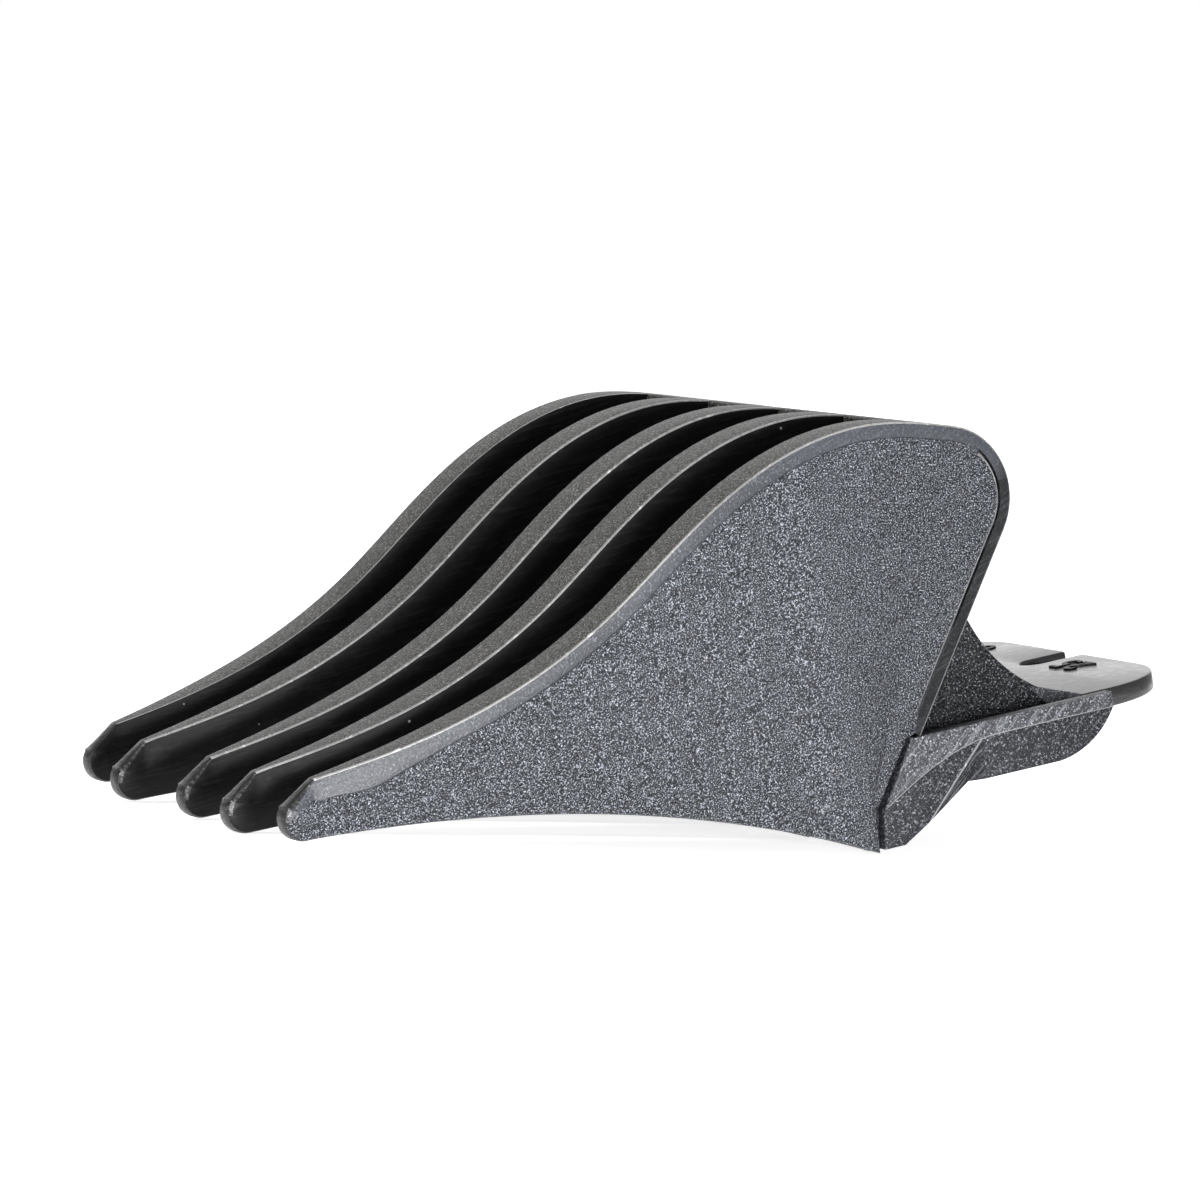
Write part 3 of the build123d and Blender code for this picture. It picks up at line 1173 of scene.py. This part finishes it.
@dataclass(frozen=True)
class SideTooth(Tooth):
    """A side tooth: it carries the rounded rear corner, and its outer face a raised textured field."""

    band: float = 1.2
    band_at_tip: float = 2.9
    recess: float = 0.2
    groove_depth: float = 0.3
    field_lift: float = 0.05
    groove_from: float = 62.0
    groove_fade: float = 45.0
    settle_run: float = 2.9
    band_run: float = 11.0
    dark_below: float = 45.0
    rim_below: float = 8.0

    @property
    def outer(self) -> Side:
        """The side that its textured face is on."""
        return Side.RIGHT if self.index == 0 else Side.LEFT

    def rear(self) -> tuple[list[Pair], list[Pair]]:
        """The two paths from the heel round the crown to the notch above the rail.

        Returns:
            The skin-side path and the hair-side path.
        """
        profile = self.profile
        skin = [p for p in profile.skin_curve() if p[0] > profile.heel[0] + self.heel_gap]
        crown = profile.crown_arc(18)[1:]
        fall = self.rear_line(profile.rail_top, 10, 0.0)[1:]
        bottom = self.heel_path(profile.rail_top, len(skin), len(crown), len(fall), profile.wall)
        return [*skin, *crown, *fall], bottom

    def stations(self) -> list[Station]:
        """Every station, with the groove deepening round the crown.

        Returns:
            The stations, from the nose to the notch.
        """
        found = []
        crown_x, crown_z = self.profile.crown_centre
        for station in super().stations():
            x, z = station.skin
            turned = degrees(atan2(z - crown_z, x - crown_x)) if x > crown_x else 90.0
            share = ease((self.groove_from - turned) / self.groove_fade)
            found.append(Station(station.skin, station.hair, self.groove_depth * share))
        return found

    def closed(self) -> bool:
        """The side tooth ends in a flat notch."""
        return False

    def skin_inset(self, station: Station, side: int) -> float:
        """The outer face's border is recessed all along.

        Args:
            station: the place along the tooth.
            side: the sign of the face.

        Returns:
            The distance.
        """
        cut = self.facet(station.skin[0])
        if side != self.outer:
            return cut
        settle = ease((station.skin[0] - self.profile.tip[0] + self.settle_run) / self.settle_run)
        return max(cut, self.recess * settle)

    def side_marks(self, station: Station, side: int, fillet: float) -> list[tuple[float, float, int]]:
        """The outer side has the border, the groove and the edge of the field.

        Args:
            station: the place along the tooth.
            side: the sign of the face.
            fillet: the skin fillet's radius.

        Returns:
            The marks, from the skin edge down.
        """
        if side != self.outer:
            return super().side_marks(station, side, fillet)
        x = station.skin[0] - self.profile.tip[0]
        widening = max(0.0, 1 - max(x, 0.0) / self.band_run) ** 1.5
        wide = self.band + (self.band_at_tip - self.band) * widening
        settle = ease((x + self.settle_run) / self.settle_run)
        drop = self.recess * settle
        low = drop + station.groove
        # Tags 5 and 6 are the groove and 7 the field's rim; where the groove is deep they take painted
        # shade and a painted highlight.
        return [
            (wide - 0.28, drop, 5),
            (wide - 0.22, low, 5),
            (wide - 0.04, low, 6),
            (wide + 0.01, self.field_lift * settle, 7),
            (wide + 0.13, 0.0, 2),
        ]

    def build(self) -> bpy.types.Object:
        """Builds and dresses the side tooth.

        Returns:
            The new piece.
        """
        bm = self.mesh()
        self.dress_groove(bm)
        self.dress_inner_wall(bm)
        self.dress_nose(bm, 5)
        finishes = (
            Finishes.SATIN,
            Finishes.BORDER,
            Finishes.TEXTURED,
            Finishes.SMOOTH,
            Finishes.EDGE,
            Finishes.NOSE,
            Finishes.RIM,
        )
        return self.bench.piece(f"side_plate_{self.outer.label}", bm, finishes, Slot.TEXTURED, [self.name])

    def dress_groove(self, bm: bmesh.types.BMesh) -> None:
        """Paints shade into the groove and a highlight on the field's rim behind it, only where the groove
        is deep.

        Args:
            bm: the mesh.
        """
        # In deep places the groove takes the near-black nose finish (painted shade) and the rim the light
        # edge finish (painted highlight); border faces turned far enough take the shaded border copy
        # (painted shade).
        plain, deep = {5: 1, 6: 1, 7: 2}, {5: 5, 6: 5, 7: 4}
        for face in bm.faces:
            index, middle = face.material_index, face.calc_center_median()
            if index in plain:
                face.material_index = (deep if self.turned(middle, self.dark_below) else plain)[index]
            elif index == 1 and self.turned(middle, self.rim_below):
                face.material_index = 6

    def turned(self, spot: Vector, limit: float) -> bool:
        """Whether a point is low enough on the crown's rear, or under the crown.

        Args:
            spot: the point.
            limit: the angle at the crown's centre that it has to be under, in degrees.

        Returns:
            True where it is.
        """
        crown_x, crown_z = self.profile.crown_centre
        past = spot.x > crown_x and degrees(atan2(spot.z - crown_z, spot.x - crown_x)) < limit
        return past or (spot.z < crown_z - 2 and spot.x > self.profile.heel[0] + 3)

    def dress_inner_wall(self, bm: bmesh.types.BMesh) -> None:
        """Gives the faces that look at the next tooth the smooth finish.

        Args:
            bm: the mesh.
        """
        bm.normal_update()
        for face in bm.faces:
            middle = face.calc_center_median()
            beyond = self.outer * (middle.y - self.bench.plan.middle(self.index, middle.x))
            if beyond < 0 and face.material_index and abs(face.normal.y) > 0.8:
                face.material_index = 3


# ---- rear wall and blade seat ----------------------------------------------------------------------


@dataclass(frozen=True)
class RearShell:
    """The crown and the rear panel, one curved wall between the side teeth."""

    bench: Bench
    buried: float = 0.9
    sunk: float = 0.01
    lip_radius: float = 0.34
    foot: float = -7.7

    def outline(self) -> list[Pair]:
        """The wall's section, outer face first.

        Returns:
            The outline's (x, z) corners.
        """
        profile = self.bench.profile
        start = profile.crown_start
        skin = [(start, profile.skin_z(start)), *(p for p in profile.skin_curve() if p[0] > start + 0.3)]
        outer = [*skin, *profile.crown_arc(20)[1:], (profile.rear_x(self.foot), self.foot)]
        into = inward(outer, None, None, True)
        outer = [(x + nx * self.sunk, z + nz * self.sunk) for (x, z), (nx, nz) in zip(outer, into)]
        bow = profile.crown_arc(16, profile.wall)
        ahead = (start, bow[0][1] + (bow[0][0] - start) * tan(profile.crown_entry))
        return [*outer, (profile.rear_x(self.foot, profile.wall), self.foot), *reversed(bow), ahead]

    def build(self) -> bpy.types.Object:
        """Builds and dresses the wall.

        Returns:
            The new piece.
        """
        bm = bmesh.new()
        half = self.bench.plan.side_inner + self.buried
        plate(bm, self.outline(), -half, half)
        start = self.bench.profile.crown_start
        lip = sharp_edges(bm, lambda co: abs(co.x - start) < 0.05 and abs(co.y) <= half)
        round_edges(bm, [e for e in lip if abs((e.verts[0].co - e.verts[1].co).y) > 1], self.lip_radius, 4)
        return self.bench.piece("rear_shell", bm, (Finishes.SATIN,), Slot.SATIN, ["crown", "rear_panel"])


@dataclass(frozen=True)
class BladeSeat:
    """The bar under the rear panel and the ledges beside the swept body."""

    bench: Bench
    bar_rear: float = 49.0
    deck_rear: float = 66.7
    inner: float = 15.8
    outer: float = 23.0
    corner_x: float = 63.0
    corner_y: float = 17.4
    shy: float = 0.01
    edge: float = 0.15

    def build(self) -> None:
        """Builds and dresses the bar and both ledges."""
        profile = self.bench.profile
        top, bottom = profile.deck_top - self.shy, profile.deck_top - profile.deck_thick + self.shy
        bar = [
            (profile.rear_x(top, profile.wall), top),
            (self.bar_rear, top),
            (self.bar_rear, bottom),
            (profile.rear_x(bottom, profile.wall), bottom),
        ]
        self.slab("seat_bar", bar, -self.outer, self.outer, ["front_bar"])
        front = self.bar_rear - 0.4
        corner = (self.deck_rear, self.corner_y)
        ledge = [
            (front, self.inner),
            (self.deck_rear, self.inner),
            corner,
            (self.corner_x, self.outer),
            (front, self.outer),
        ]
        for side in Side:
            name, nodes = f"seat_ledge_{side.label}", [f"ledge_{side.label}"]
            bm = bmesh.new()
            plate(bm, ledge, -top, -bottom)
            swap = Matrix(((1, 0, 0), (0, 0, side), (0, -1, 0))).to_4x4()
            bmesh.ops.transform(bm, matrix=swap, verts=bm.verts[:])
            self.finish(bm, name, nodes)

    def slab(
        self, name: str, outline: Sequence[Pair], low: float, high: float, nodes: Sequence[str]
    ) -> None:
        """Builds one flat slab of the seat with eased edges.

        Args:
            name: the piece's name.
            outline: its (x, z) corners.
            low: y where it starts.
            high: y where it ends.
            nodes: the CAD nodes that it stands for.
        """
        bm = bmesh.new()
        plate(bm, outline, low, high)
        self.finish(bm, name, nodes)

    def finish(self, bm: bmesh.types.BMesh, name: str, nodes: Sequence[str]) -> None:
        """Eases a slab's edges and dresses it."""
        round_edges(bm, sharp_edges(bm, lambda co: True), self.edge, 2)
        self.bench.piece(name, bm, (Finishes.SATIN,), Slot.SATIN, nodes)


# ---- tongue -------------------------------------------------------------------------------------------


@dataclass(frozen=True)
class SweptTongue:
    """The concave back and the tongue: one sheet, cut flat and then bent along its side view."""

    bench: Bench
    sweep: tuple[Pair, ...] = ((60.4, -3.9), (66.3, -7.5))
    sweep_top: float = 6.2
    buried: float = 0.5
    rear: float = 76.3
    half_width: float = 17.0
    corner: float = 7.0
    slot_start: float = 71.3
    slot_width: float = 2.5
    mouth: float = 0.5
    edge: float = 0.22
    thin: float = 1.2
    thin_fade: float = 4.0
    root: Pair = (66.2, 67.7)

    def path(self) -> list[Pair]:
        """The sheet's top face in the side view, from inside the rear panel to the tongue's end.

        Returns:
            The (x, z) points.
        """
        top = (self.bench.profile.rear_x(self.sweep_top), self.sweep_top)
        centre, radius = circle_through(top, *self.sweep)
        first = atan2(top[1] - centre[1], top[0] - centre[0]) % (2 * pi)
        final = atan2(self.sweep[1][1] - centre[1], self.sweep[1][0] - centre[0]) % (2 * pi)
        bow = arc(centre, radius, first - self.buried / radius, final, 36)
        return [*bow, *line(bow[-1], (self.rear, self.sweep[1][1]), 12)[1:]]

    def blank(self, length: float) -> list[Pair]:
        """The sheet's flat outline: distance along the path, and y.

        Args:
            length: the path's length.

        Returns:
            The (distance, y) corners.
        """
        end, half, slot = length, self.half_width, self.slot_width / 2
        bend = length - (self.rear - self.slot_start) + slot
        near = arc((end - self.corner, -half + self.corner), self.corner, -pi / 2, 0, 14)
        mouth_near = arc((end - self.mouth, -slot - self.mouth), self.mouth, 0, pi / 2, 5)
        inner = arc((bend, 0.0), slot, -pi / 2, -3 * pi / 2, 14)
        mouth_far = arc((end - self.mouth, slot + self.mouth), self.mouth, -pi / 2, 0, 5)
        far = arc((end - self.corner, half - self.corner), self.corner, 0, pi / 2, 14)
        return [(0.0, -half), *near, *mouth_near, *inner, *mouth_far, *far, (0.0, half)]

    def mesh(self) -> bmesh.types.BMesh:
        """Cuts the blank, rounds its rim and bends it.

        Returns:
            The mesh, in the blade frame.
        """
        path = np.array(self.path())
        along = np.concatenate([[0.0], np.cumsum(np.linalg.norm(np.diff(path, axis=0), axis=1))])
        bm = bmesh.new()
        thick = self.bench.profile.deck_thick
        face = bm.faces.new([bm.verts.new((s, y, 0.0)) for s, y in self.blank(float(along[-1]))])
        made = bmesh.ops.extrude_face_region(bm, geom=[face], use_keep_orig=True)["geom"]
        lowered = [g for g in made if isinstance(g, bmesh.types.BMVert)]
        bmesh.ops.translate(bm, verts=lowered, vec=(0, 0, -thick))
        bm.normal_update()
        rims = []
        for edge in bm.edges:
            a, b = (v.co for v in edge.verts)
            if a.z == b.z and a.x + b.x > 0.01:
                rims.append(edge)
        round_edges(bm, rims, self.edge, 3)
        cut_across(bm, along[1:-1], Vector((1, 0, 0)))
        root = np.linspace(*self.root, 7) - self.rear + along[-1]
        cut_across(bm, root, Vector((1, 0, 0)))
        self.bend(bm, path, along)
        return bm

    def bend(self, bm: bmesh.types.BMesh, path: np.ndarray, along: np.ndarray) -> None:
        """Moves the flat sheet onto its path, thinner on the sweep than on the tongue.

        Args:
            bm: the mesh.
            path: the path's (x, z) points.
            along: the distance of each along the path.
        """
        thick = self.bench.profile.deck_thick
        normals = np.array(inward([tuple(p) for p in path], None, None, False))
        sweep_end = along[-1] - (self.rear - self.sweep[1][0])
        for vert in bm.verts:
            s = vert.co.x
            share = ease((s - sweep_end + self.thin_fade) / self.thin_fade)
            depth = vert.co.z / thick * (self.thin + (thick - self.thin) * share)
            x, z = (float(np.interp(s, along, path[:, k])) for k in (0, 1))
            nx, nz = (float(np.interp(s, along, normals[:, k])) for k in (0, 1))
            vert.co = Vector((x + nx * depth, vert.co.y, z + nz * depth))

    def build(self) -> bpy.types.Object:
        """Builds and dresses the sheet.

        Returns:
            The new piece.
        """
        bm = self.mesh()
        bm.normal_update()
        for face in bm.faces:
            if abs(face.normal.y) > 0.9 and face.calc_center_median().x < self.root[0]:
                face.material_index = 1
        nodes = ["back_sweep", "tongue_root", "tongue_plate", "finger_right", "finger_left"]
        finishes = (Finishes.POLISHED, Finishes.GUSSET)
        obj = self.bench.piece("swept_tongue", bm, finishes, Slot.POLISHED, nodes, body=None)
        height = self.bench.profile.deck_top
        start, end = (self.bench.place(x, 0, height) for x in self.root)
        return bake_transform(obj)

    def snap_ridges(self, x: float = 74.4, radius: float = 0.7, reach: Pair = (4.0, 12.0)) -> None:
        """Builds the two half-round ridges under the fingers.

        Args:
            x: where they stand.
            radius: their radius.
            reach: the inner and outer y of each.
        """
        low = self.bench.profile.deck_top - self.bench.profile.deck_thick
        for side in Side:
            bm = bmesh.new()
            turn = Matrix.Rotation(pi / 2, 4, "X")
            place = Matrix.Translation((x, side * sum(reach) / 2, low)) @ turn
            bmesh.ops.create_cone(
                bm,
                cap_ends=True,
                segments=32,
                radius1=radius,
                radius2=radius,
                depth=reach[1] - reach[0],
                matrix=place,
            )
            bmesh.ops.bisect_plane(
                bm,
                geom=bm.verts[:] + bm.edges[:] + bm.faces[:],
                dist=1e-4,
                plane_co=(0, 0, low + 0.05),
                plane_no=(0, 0, 1),
                clear_outer=True,
            )
            bmesh.ops.holes_fill(bm, edges=[e for e in bm.edges if e.is_boundary], sides=0)
            ends = sharp_edges(bm, lambda co: co.z < low + 0.02)
            round_edges(bm, ends, 0.25, 3)
            name, nodes = f"finger_ridge_{side.label}", [f"snap_ridge_{side.label}"]
            self.bench.piece(name, bm, (Finishes.POLISHED,), Slot.SATIN, nodes, Body.TONGUE)

    def size_marks(self, height: float = 2.7, proud: float = 0.13, soft: float = 0.03) -> None:
        """Raises generic numerals on the fingers.

        Args:
            height: the numerals' height.
            proud: how far they stand above the tongue.
            soft: how far their edges are rounded.
        """
        marks = (("25", 73.2, -5.0, "size_mark_length"), ("8", 73.4, 10.0, "size_mark_number"))
        for text, x, y, node in marks:
            curve = bpy.data.curves.new(node, "FONT")
            curve.body = text
            curve.size = height * FONT_SIZE
            curve.extrude = proud / 2
            curve.bevel_depth = soft
            curve.align_x, curve.align_y = "CENTER", "CENTER"
            curve.resolution_u = 4
            writer = bpy.data.objects.new(node + "_text", curve)
            bm = bmesh.new()
            bm.from_mesh(writer.to_mesh())
            writer.to_mesh_clear()
            bpy.data.objects.remove(writer)
            turn = Matrix(((0, -1, 0), (1, 0, 0), (0, 0, 1))).to_4x4()
            place = Matrix.Translation((x, y, self.bench.profile.deck_top + proud / 2 - soft)) @ turn
            bmesh.ops.transform(bm, matrix=place, verts=bm.verts[:])
            bmesh.ops.remove_doubles(bm, verts=bm.verts[:], dist=1e-3)
            self.bench.piece(f"numerals_{text}", bm, (Finishes.SMOOTH,), Slot.POLISHED, [node], Body.TONGUE)


# ---- sides: gussets and rails ---------------------------------------------------------------------------


@dataclass(frozen=True)
class Gusset:
    """The wall that closes one side under the swept back, with the small wedge at its toe."""

    tongue: SweptTongue
    side: Side
    thick: float = 1.2
    shy: float = 0.012
    wedge: tuple[Pair, ...] = ((62.0, -5.75), (66.9, -7.46))
    wedge_foot: tuple[Pair, ...] = ((63.4, -7.5), (66.9, -7.5))
    wedge_reach: Pair = (0.55, 0.12)
    wedge_root: float = 0.4
    sunk: float = 0.6
    foot_depth: float = 0.1
    panel_depth: float = 0.5

    def build(self) -> bpy.types.Object:
        """Builds and dresses the wall.

        Returns:
            The new piece.
        """
        bench = self.tongue.bench
        profile = bench.profile
        path = [p for p in self.tongue.path() if p[0] <= self.tongue.sweep[1][0] + 0.01]
        into = inward(path, None, None, False)
        top = [(x - nx * self.sunk, z - nz * self.sunk) for (x, z), (nx, nz) in zip(path, into)]
        foot = profile.deck_top - self.foot_depth
        top = [p for p in top if p[1] > foot]
        front = [(profile.rear_x(z, self.panel_depth), z) for z in (foot, top[0][1])]
        outline = [*top, (top[-1][0], foot), *front]
        bm = bmesh.new()
        outer = self.tongue.half_width - self.shy
        low, high = sorted((self.side * (outer - self.thick), self.side * outer))
        plate(bm, outline, low, high)
        self.add_wedge(bm, outer)
        name, nodes = f"gusset_{self.side.label}", [f"body_side_{self.side.label}"]
        return bench.piece(name, bm, (Finishes.GUSSET, Finishes.BAND), Slot.TEXTURED, nodes)

    def add_wedge(self, bm: bmesh.types.BMesh, outer: float) -> None:
        """Adds the smooth wedge that leans out at the gusset's toe.

        Args:
            bm: the mesh.
            outer: how far out the gusset's face stands.
        """
        spots = [(x, outer, z) for x, z in self.wedge]
        spots += [(x, outer + reach, z) for (x, z), reach in zip(self.wedge_foot, self.wedge_reach)]
        spots += [(x, outer - self.wedge_root, z) for x, z in (*self.wedge, *self.wedge_foot)]
        verts = [bm.verts.new((x, self.side * y, z)) for x, y, z in spots]
        made = bmesh.ops.convex_hull(bm, input=verts, use_existing_faces=False)["geom"]
        for item in made:
            if isinstance(item, bmesh.types.BMFace):
                item.material_index = 1


@dataclass(frozen=True)
class Rail:
    """A side rail that goes over the blade's side: its wall, its raised band and its heel."""

    bench: Bench
    side: Side
    inner: float = 23.0
    outer: float = 24.0
    proud: float = 0.3
    bottom: float = -10.75
    rear: float = 65.5
    gap: float = 0.5
    band_height: float = 1.2
    knee: Pair = (52.4, -10.75)
    heel_lift: float = 0.15
    crease_at: Pair = (52.7, -8.7)
    crease_end: float = 53.6
    crease_push: float = 0.55
    crease_width: float = 0.09
    edge: float = 0.13
    band_edge: float = 0.11
    band_lean: float = 0.17
    lean_foot: float = 11.5
    lean_height: float = 5.2
    web_reach: float = 0.9

    def front(self) -> tuple[Pair, Pair]:
        """The top and bottom of the rail's front edge, behind the side tooth.

        Returns:
            The top and the bottom, as (x, z).
        """
        profile = self.bench.profile
        top = (profile.rear_x(profile.rail_top, profile.wall) + self.gap, profile.rail_top)
        return top, (profile.heel[0] + self.gap + 0.35, profile.heel_top - 0.4)

    def wall_outline(self) -> list[Pair]:
        """The rail wall's outline.

        Returns:
            The outline's (x, z) corners.
        """
        profile = self.bench.profile
        top, low = self.front()
        heel_z = profile.heel[1] + self.heel_lift
        under = profile.rail_top - self.band_height
        centre, radius = circle_through((60.3, self.bottom), (63.3, -9.75), (self.rear, under))
        ends = [atan2(z - centre[1], x - centre[0]) for x, z in ((60.3, self.bottom), (self.rear, under))]
        bow = arc(centre, radius, ends[0], ends[1], 14)
        heel = [(profile.heel[0] + self.gap, heel_z), (profile.heel[0] + 2.3, heel_z)]
        return [top, low, *heel, self.knee, *bow, (self.rear, profile.rail_top)]

    def band_outline(self) -> list[Pair]:
        """The raised band's outline: a strip that widens into a triangle at the front.

        Returns:
            The outline's (x, z) corners.
        """
        profile = self.bench.profile
        top, low = self.front()
        under = profile.rail_top - self.band_height
        curve = spline_through((low, (49.8, -8.7), (55.4, under)), (1, 0.55), (1, 0), 8)
        return [top, *curve, (self.rear, under), (self.rear, profile.rail_top)]

    def mesh(self) -> bmesh.types.BMesh:
        """The rail's mesh: the wall with its creased heel, and the band on it.

        Returns:
            The mesh, in the blade frame.
        """
        bm = bmesh.new()
        low, high = sorted((self.side * self.inner, self.side * self.outer))
        plate(bm, self.wall_outline(), low, high)
        self.crease(bm)
        round_edges(bm, sharp_edges(bm, lambda co: True), self.edge, 2)
        band = bmesh.new()
        low, high = sorted((self.side * (self.outer - 0.3), self.side * (self.outer + self.proud)))
        plate(band, self.band_outline(), low, high)
        face_y = self.side * (self.outer + self.proud)
        rim = round_edges(band, sharp_edges(band, lambda co: abs(co.y - face_y) < 1e-4), self.band_edge, 2)
        for vert in band.verts:
            if abs(vert.co.y) > self.outer:
                rise = min(1.0, max(0.0, (vert.co.z + self.lean_foot) / self.lean_height))
                vert.co.y -= self.side * self.band_lean * rise
        bmesh.ops.recalc_face_normals(band, faces=band.faces[:])
        for face in band.faces:
            face.material_index = 1
        # Painted highlight: the band's rounded lower rim takes the light line finish at index 2.
        for face in rim:
            if face.normal.z < -0.2:
                face.material_index = 2
        top, low = self.front()
        heel = self.bench.profile.heel
        toe = (heel[0] + self.gap, heel[1] + self.heel_lift)
        web = [(x + 0.5, z - 0.05) for x, z in (top, low, toe)]
        web += [(x - self.web_reach, z) for x, z in (toe, low, top)]
        low_y, high_y = sorted((self.side * (self.inner - 0.8), self.side * (self.inner + 0.05)))
        plate(band, web, low_y, high_y)
        holder = bpy.data.meshes.new("band")
        band.to_mesh(holder)
        band.free()
        bm.from_mesh(holder)
        bpy.data.meshes.remove(holder)
        return bm

    def crease(self, bm: bmesh.types.BMesh) -> None:
        """Folds the outer face of the heel inwards below a slanted crease, with painted shade on the folded
        faces and a painted highlight along the crease.

        Args:
            bm: the mesh.
        """
        outer_y = self.side * self.outer
        start_x, start_z = self.crease_at
        planes = (((start_x, 0, start_z), (1, 0, -1)), ((self.crease_end, 0, 0), (1, 0, 0)))
        for spot, normal in planes:
            level = [f for f in bm.faces if abs(abs(f.normal.y) - 1) < 1e-3]
            faces = [f for f in level if abs(f.calc_center_median().y - outer_y) < 0.01]
            parts = {g for f in faces for g in (f, *f.edges, *f.verts)}
            bmesh.ops.bisect_plane(bm, geom=list(parts), dist=1e-4, plane_co=spot, plane_no=normal)
            bm.normal_update()
        for vert in bm.verts:
            near_knee = dist((vert.co.x, vert.co.z), self.knee) < 0.05
            if near_knee and abs(vert.co.y - outer_y) < 0.01:
                vert.co.y -= self.side * self.crease_push
        flat = [f for f in bm.faces if len(f.verts) > 4 and abs(f.normal.y) > 0.5]
        bmesh.ops.triangulate(bm, faces=flat)
        line_x = start_x - start_z
        # Painted shade: the folded faces below the crease take the darker finish at index 3.
        for face in bm.faces:
            middle = face.calc_center_median()
            low = middle.x - middle.z > line_x and middle.x < self.crease_end
            if low and abs(middle.y - outer_y) < self.crease_push and abs(face.normal.y) > 0.5:
                face.material_index = 3
        fold = [
            e
            for e in bm.edges
            if all(abs(v.co.x - v.co.z - line_x) < 0.02 and abs(v.co.y - outer_y) < 0.01 for v in e.verts)
        ]
        # Painted highlight: the crease's narrow bevel takes the light line finish at index 2.
        for face in round_edges(bm, fold, self.crease_width, 1):
            face.material_index = 2

    def build(self) -> bpy.types.Object:
        """Builds and dresses the rail.

        Returns:
            The new piece.
        """
        label = self.side.label
        nodes = [f"rail_{label}", f"rail_band_{label}"]
        finishes = (Finishes.RAIL, Finishes.BAND, Finishes.LINE, Finishes.LOW)
        return self.bench.piece(f"side_rail_{label}", self.mesh(), finishes, Slot.TEXTURED, nodes)


# ---- studio ----------------------------------------------------------------------------------------


def direction(azimuth: float, elevation: float) -> Vector:
    """The way out from the comb at an azimuth from its front and an elevation, in radians."""
    level = cos(elevation)
    return Vector((sin(azimuth) * level, -cos(azimuth) * level, sin(elevation)))


@dataclass(frozen=True)
class Softbox:
    """A square area light that looks at the comb: its angles in degrees, its sizes in metres."""

    name: str
    azimuth: float
    elevation: float
    reach: float
    size: float
    watts: float

    def hang(self) -> None:
        """Adds the light to the scene."""
        data = bpy.data.lights.new(self.name, "AREA")
        data.size = self.size
        data.energy = self.watts
        light = bpy.data.objects.new(self.name, data)
        bpy.context.scene.collection.objects.link(light)
        away = direction(radians(self.azimuth), radians(self.elevation))
        turned = away.to_track_quat("Z", "Y").to_matrix().to_4x4()
        light.matrix_world = Matrix.Translation(away * self.reach) @ turned


@dataclass(frozen=True)
class Studio:
    """A plain pale floor, soft lights and the camera."""

    bench: Bench
    azimuth: float = radians(-26.670)
    elevation: float = radians(3.276)
    roll: float = radians(3.1065)
    distance: float = 0.53315
    lens: float = 205.0
    aim: tuple[float, float, float] = (35.803, 1.674, 4.729)
    floor_half: float = 4.0
    floor_glow: float = 0.76
    world_light: float = 0.35
    lights: tuple[Softbox, ...] = (
        Softbox("back_softbox", azimuth=155, elevation=24, reach=1.1, size=1.2, watts=6),
        Softbox("key_light", azimuth=-60, elevation=45, reach=0.9, size=0.22, watts=5),
        Softbox("sheen_light", azimuth=-15, elevation=2, reach=0.2, size=0.045, watts=0.8),
    )

    def camera(self) -> None:
        """Places the camera on its sphere round the aim point."""
        data = bpy.data.cameras.new("camera")
        data.lens = self.lens
        camera = bpy.data.objects.new("camera", data)
        bpy.context.scene.collection.objects.link(camera)
        back = direction(self.azimuth, self.elevation)
        level = (-back).cross(Vector((0, 0, 1))).normalized()
        upright = level.cross(-back)
        right = level * cos(self.roll) + upright * sin(self.roll)
        axes = Matrix((right, back.cross(right), back)).transposed().to_4x4()
        camera.matrix_world = Matrix.Translation(self.bench.place(*self.aim) + back * self.distance) @ axes
        bpy.context.scene.camera = camera

    def floor(self) -> None:
        """Lays a wide pale floor under the comb."""
        bm = bmesh.new()
        bmesh.ops.create_grid(bm, x_segments=8, y_segments=8, size=self.floor_half)
        mesh = bpy.data.meshes.new("floor")
        bm.to_mesh(mesh)
        bm.free()
        material = bpy.data.materials.new("pale_floor")
        material.use_nodes = True
        shader = material.node_tree.nodes["Principled BSDF"]
        shader.inputs["Base Color"].default_value = (0.93, 0.93, 0.93, 1.0)
        shader.inputs["Roughness"].default_value = 0.9
        shader.inputs["Emission Color"].default_value = (1.0, 1.0, 1.0, 1.0)
        shader.inputs["Emission Strength"].default_value = self.floor_glow
        mesh.materials.append(material)
        floor = bpy.data.objects.new("floor", mesh)
        bpy.context.scene.collection.objects.link(floor)

    def build(self) -> None:
        """Sets up the whole studio."""
        self.camera()
        self.floor()
        world = bpy.data.worlds.new("studio")
        world.use_nodes = True
        graph = Graph(world.node_tree)
        seen = graph.add("LightPath").outputs["Is Camera Ray"]
        sky = graph.add("Background", Color=(1.0, 1.0, 1.0, 1.0))
        graph.feed(sky.inputs["Strength"], graph.remap(seen, 0.0, 1.0, self.world_light, 1.0))
        graph.feed(graph.add("OutputWorld").inputs["Surface"], sky.outputs[0])
        bpy.context.scene.world = world
        for light in self.lights:
            light.hang()
        bpy.context.scene.view_settings.view_transform = "Standard"


def main() -> None:
    """Builds the studio, then the comb sub-assembly by sub-assembly."""
    logging.basicConfig(level=logging.INFO, format="%(name)s: %(message)s")
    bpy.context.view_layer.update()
    bench = Bench.from_record(frame["record"])
    Studio(bench).build()
    last = len(bench.plan.tip_y) - 1
    for index in range(len(bench.plan.tip_y)):
        kind = SideTooth if index in (0, last) else Tooth
        kind(bench, index).build()
    RearShell(bench).build()
    BladeSeat(bench).build()
    tongue = SweptTongue(bench)
    tongue.build()
    tongue.snap_ridges()
    tongue.size_marks()
    for side in Side:
        Gusset(tongue, side).build()
        Rail(bench, side).build()
    LOG.info("CAD nodes still shown: %s", [n for n, o in frame["nodes"].items() if not o.hide_render])


if __name__ == "__main__":
    main()
